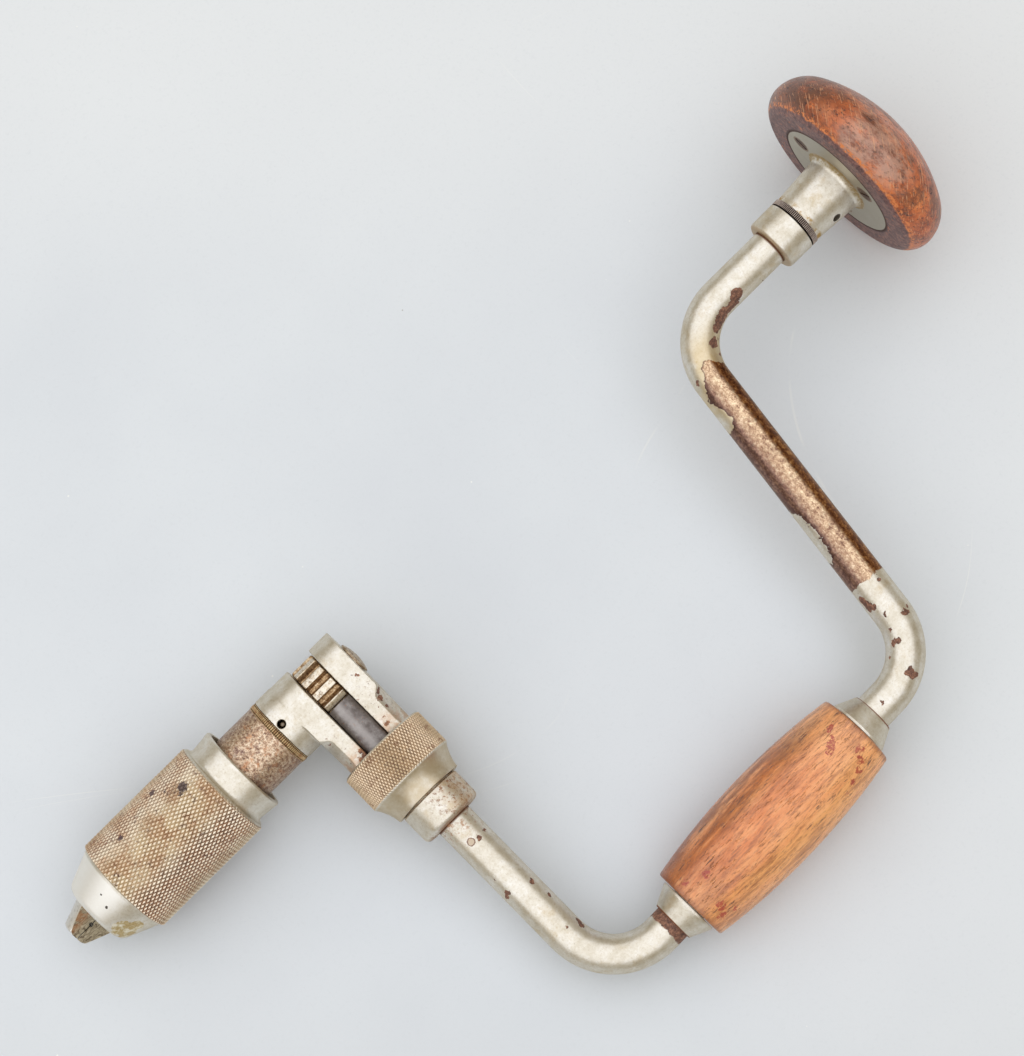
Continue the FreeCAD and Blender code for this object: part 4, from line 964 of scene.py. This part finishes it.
# The ferrules: two turned cones of plated steel, pinned to the bow at the grip's ends to keep it in place.
for name, side, seed in (("lower_ferrule", -1, 131), ("upper_ferrule", 1, 141)):
    outline = [(37.55, rod), (37.55, 10, 0.12), (38.35, 10, 0.1), (44.75, 6.95, 0.3), (44.75, rod)]
    ferrule = turn(name + "_cone", [(along * side, *rest) for along, *rest in outline], on_bow)
    plate = nickel(name + "_nickel", seed)
    rust_line = plate.x.band(grip_x + 44.75 * side, 0.4, 0.35)
    plate.lay(rust_line, (124, 74, 44), 0.55, 0.3)
    fit(ferrule, plate.done(), name, "frame")


# The head's bearing: a collar pinned to the crank, a thin knurled lock ring on the crank's journal, and behind them
# the head's plated sleeve and flange. Balls in the sleeve, a washer and a nut let the head spin under load.
collar_outline = [(256.42, rod, 0.1), (256.42, 9.15, 1.4), (journal_front, 9.15, 0.2), (journal_front, rod)]
head_collar = turn("head_collar_turned", collar_outline)
lock_outline = [(266.62, 5.3), (266.62, 9.15, 0.1), (268.58, 9.15, 0.1), (268.58, 5.3)]
lock_ring = turn("lock_ring", lock_outline, knurl=(96, 0, 0.4, 0.3, 0))
flange_front, flange_rear, screw_circle, oil_hole_slope = 286.42, 288.62, 16.3, math.radians(68)
sleeve = turn("sleeve", [
    (268.62, 7.9), (268.62, 8.85, 0.15), (284.12, 9.9), *arc((284.12, 9.9), (285.746, 10.574), (flange_front, 12.2)),
    (flange_front, 12.2), (flange_front, 21.7, 0.2), (flange_rear, 21.7, 0.1), (flange_rear, 5.06), (271.52, 5.06),
    (271.52, 7.9),
])
drills = [bar("Z", 0, 30, 1.5, (277.22, 0))]
drills[0].data.transform(Matrix.Rotation(oil_hole_slope, 4, "X"))
screw_angles = [math.radians(angle) for angle in (40, 160, 280)]
screw_places = [(-screw_circle * math.sin(angle), screw_circle * math.cos(angle)) for angle in screw_angles]
drills += [bar("X", 286, 289, 2.66, place) for place in screw_places]
for drill in drills:
    cut(sleeve, "DIFFERENCE", drill)
drilled = worked_mesh(sleeve)
sleeve.modifiers.clear()
sleeve.data = drilled
sleeve.data.set_sharp_from_angle(angle=sharp_corner)
for drill in drills:
    bpy.data.objects.remove(drill)
plate = nickel("head_collar_nickel", 151)
plate.lay(plate.x.fade(257.3, 256.5) * 0.6, (168, 132, 84), 0.42, 0.7)
fit(head_collar, plate.done(), "head_collar", "frame")
plate = nickel("sleeve_nickel", 161)
root = plate.from_spindle()
root_stain = root.band(11.5, 0.5, 0.5) * plate.x.fade(284, 285.2) * plate.patches(0.8, 5, 0.75, 164, 0.38, 0.54)
plate.lay(root_stain * 0.9, (146, 108, 56), 0.5, 0.5)
root_specks = root.band(10.8, 1.4, 0.6) * plate.patches(1.3, 5, 0.8, 165, 0.6, 0.66)
plate.lay(root_specks, (112, 76, 44), 0.5, 0.4)
plate.lay(plate.x.band(269.4, 1, 0.8) * plate.patches(0.3, 5, 0.7, 166, 0.46, 0.6), (176, 140, 76), 0.42, 0.7)
root_tan = root.fade(10, 10.5) * root.fade(13, 12) * plate.patches(0.5, 6, 0.78, 167, 0.38, 0.58, 0.2, 0.95)
plate.lay(root_tan, (164, 142, 100), 0.58, 0.7)
plate.lay(root.fade(12, 12.4) * 0.85, (182, 178, 168), 0.44)
# Painted shade with grime: a dark brown ring at the flange's rim, in the crevice where it meets the pad.
plate.lay(root.fade(21.15, 21.45), (78, 48, 34), 0.6, 0.3)
around_screws = None
for place in screw_places:
    ring = plate.distance(plate.place, (flange_front, *place)).band(2.9, 0.5, 0.3)
    around_screws = around_screws | ring if around_screws else ring
plate.lay(around_screws * 0.7, (118, 84, 54), 0.5, 0.5)
fit(sleeve, plate.done(), "head_flange", "head")
steel = Finish("lock_ring_steel", None, 0.5, 0.5)
steel.colour = steel.mottled(0.9, 5, 0.7, 0, (0.36, 140, 124, 114), (0.55, 176, 160, 148), (0.7, 210, 196, 184))
steel.lay(steel.from_spindle().fade(9.1, 8.94), (50, 36, 34), 0.6)
fit(lock_ring, steel.done(), "head_lock_ring", "head")
for name in ("head_washer", "head_nut"):
    dress(name, dark_steel)
steel = Finish("flange_screw_steel", None, 0.5, 0.55)
steel.colour = steel.mottled(1.1, 5, 0.78, 0, (0.38, 60, 42, 36), (0.52, 94, 68, 54), (0.66, 142, 112, 86))
dress("flange_screws", steel.done())


# The pad: a domed disc of the grip's wood, turned and varnished, that the palm or breast leans on. Grime, scratches
# and knocks darken it, and the flat base round the flange keeps a dark violet-brown stain with a chipped edge.
pad = turn("pad", [
    (flange_front, 21.76), (flange_front, 28.9, 0.35),
    *arc((flange_front, 28.9), (289.094, 32.732), (293.52, 34.2), 14), (293.52, 34.2),
    *arc((293.52, 34.2), (299.095, 32.758), (303.277, 28.787), 14), (303.277, 28.787),
    *arc((303.277, 28.787), (309.418, 14.974), (311.52, 0), 24), (311.52, 0), (299.62, 0), (299.62, 9.2),
    (flange_rear, 9.2), (flange_rear, 21.76),
], around=192)
wood = Finish("pad_wood", None, None, 0)
wood.colour = wood.mottled(
    0.16, 6, 0.74, 3, (0.32, 128, 60, 30), (0.43, 172, 84, 38), (0.54, 200, 106, 52), (0.68, 222, 132, 72),
    stretch=(1, 0.3, 1),
)
wood.rough = wood.patches(0.3, 5, 0.6, 0, 0.35, 0.65, 0.26, 0.42)
grime = wood.patches(0.14, 6, 0.78, 5, 0.44, 0.58, stretch=(1, 0.6, 1))
wood.lay(grime * 0.75, (92, 58, 44), 0.36)
high_side = wood.y.fade(4, 26) * wood.patches(0.2, 6, 0.74, 6, 0.32, 0.52, stretch=(1, 0.5, 1))
wood.lay(high_side * 0.8, (98, 66, 50))
grain = wood.patches(1, 6, 0.8, 9, 0.5, 0.6, stretch=(1, 0.2, 1))
wood.lay(grain * 0.6, (98, 50, 32))
flecks = wood.patches(0.7, 6, 0.82, 7, 0.57, 0.6, stretch=(1, 0.6, 1))
wood.lay(flecks * 0.88, (58, 34, 32), 0.45)
lit_grain = wood.patches(0.8, 6, 0.8, 12, 0.57, 0.65, stretch=(1, 0.35, 1))
wood.lay(lit_grain * 0.6, (224, 134, 78))
# Painted sheen: a pale, greyish patch on the top of the pad's dome, where the window's highlight falls.
painted_sheen = wood.z.fade(25, 31.5) * wood.y.fade(11, 2) * wood.patches(0.25, 6, 0.76, 18, 0.36, 0.58, stretch=(1, 0.4, 1))
wood.lay(painted_sheen * 0.6, (206, 162, 140))
slanted = wood.value("VectorRotate", {"Vector": wood.place, "Angle": math.radians(38)}, rotation_type="Z_AXIS")
slanted = wood.value("VectorMath", {0: slanted, 1: (3, 0.05, 0.4)}, operation="MULTIPLY")
scratches = wood.value("TexNoise", {"Vector": slanted, "Scale": 1, "Detail": 2}, "Fac")
scratches = scratches.fade(0.6, 0.66) * wood.patches(0.09, 3, 0.5, 16, 0.4, 0.52)
wood.lay(scratches * 0.55, (226, 166, 122), 0.45)
base_edge = wood.axes(wood.ragged_place(0.35, 1.6, 11))[0]
base = base_edge.fade(287.6, 287.2)
base_tones = wood.mottled(0.8, 5, 0.7, 13, (0.38, 80, 52, 50), (0.52, 114, 80, 76), (0.66, 152, 110, 94))
rim_wear = base_edge.band(287.7, 0.9, 0.4)
wood.lay(rim_wear * wood.patches(0.8, 5, 0.72, 15, 0.47, 0.55), (216, 128, 70), 0.5)
wood.lay(base, base_tones, 0.5)
chipped = base * wood.patches(0.5, 6, 0.8, 17, 0.59, 0.63)
wood.lay(chipped, (198, 112, 60), 0.5)
# Painted shade with grime: the base is darkest in a ring next to the flange, in the crevice between wood and flange.
wood.lay(base * wood.from_spindle().fade(22.7, 22), (66, 36, 28), 0.6)
wood.raise_by(flecks, -0.06)
wood.raise_by(scratches, -0.03)
fit(pad, wood.done(**{"Specular IOR Level": 0.55}), "head_pad", "head")
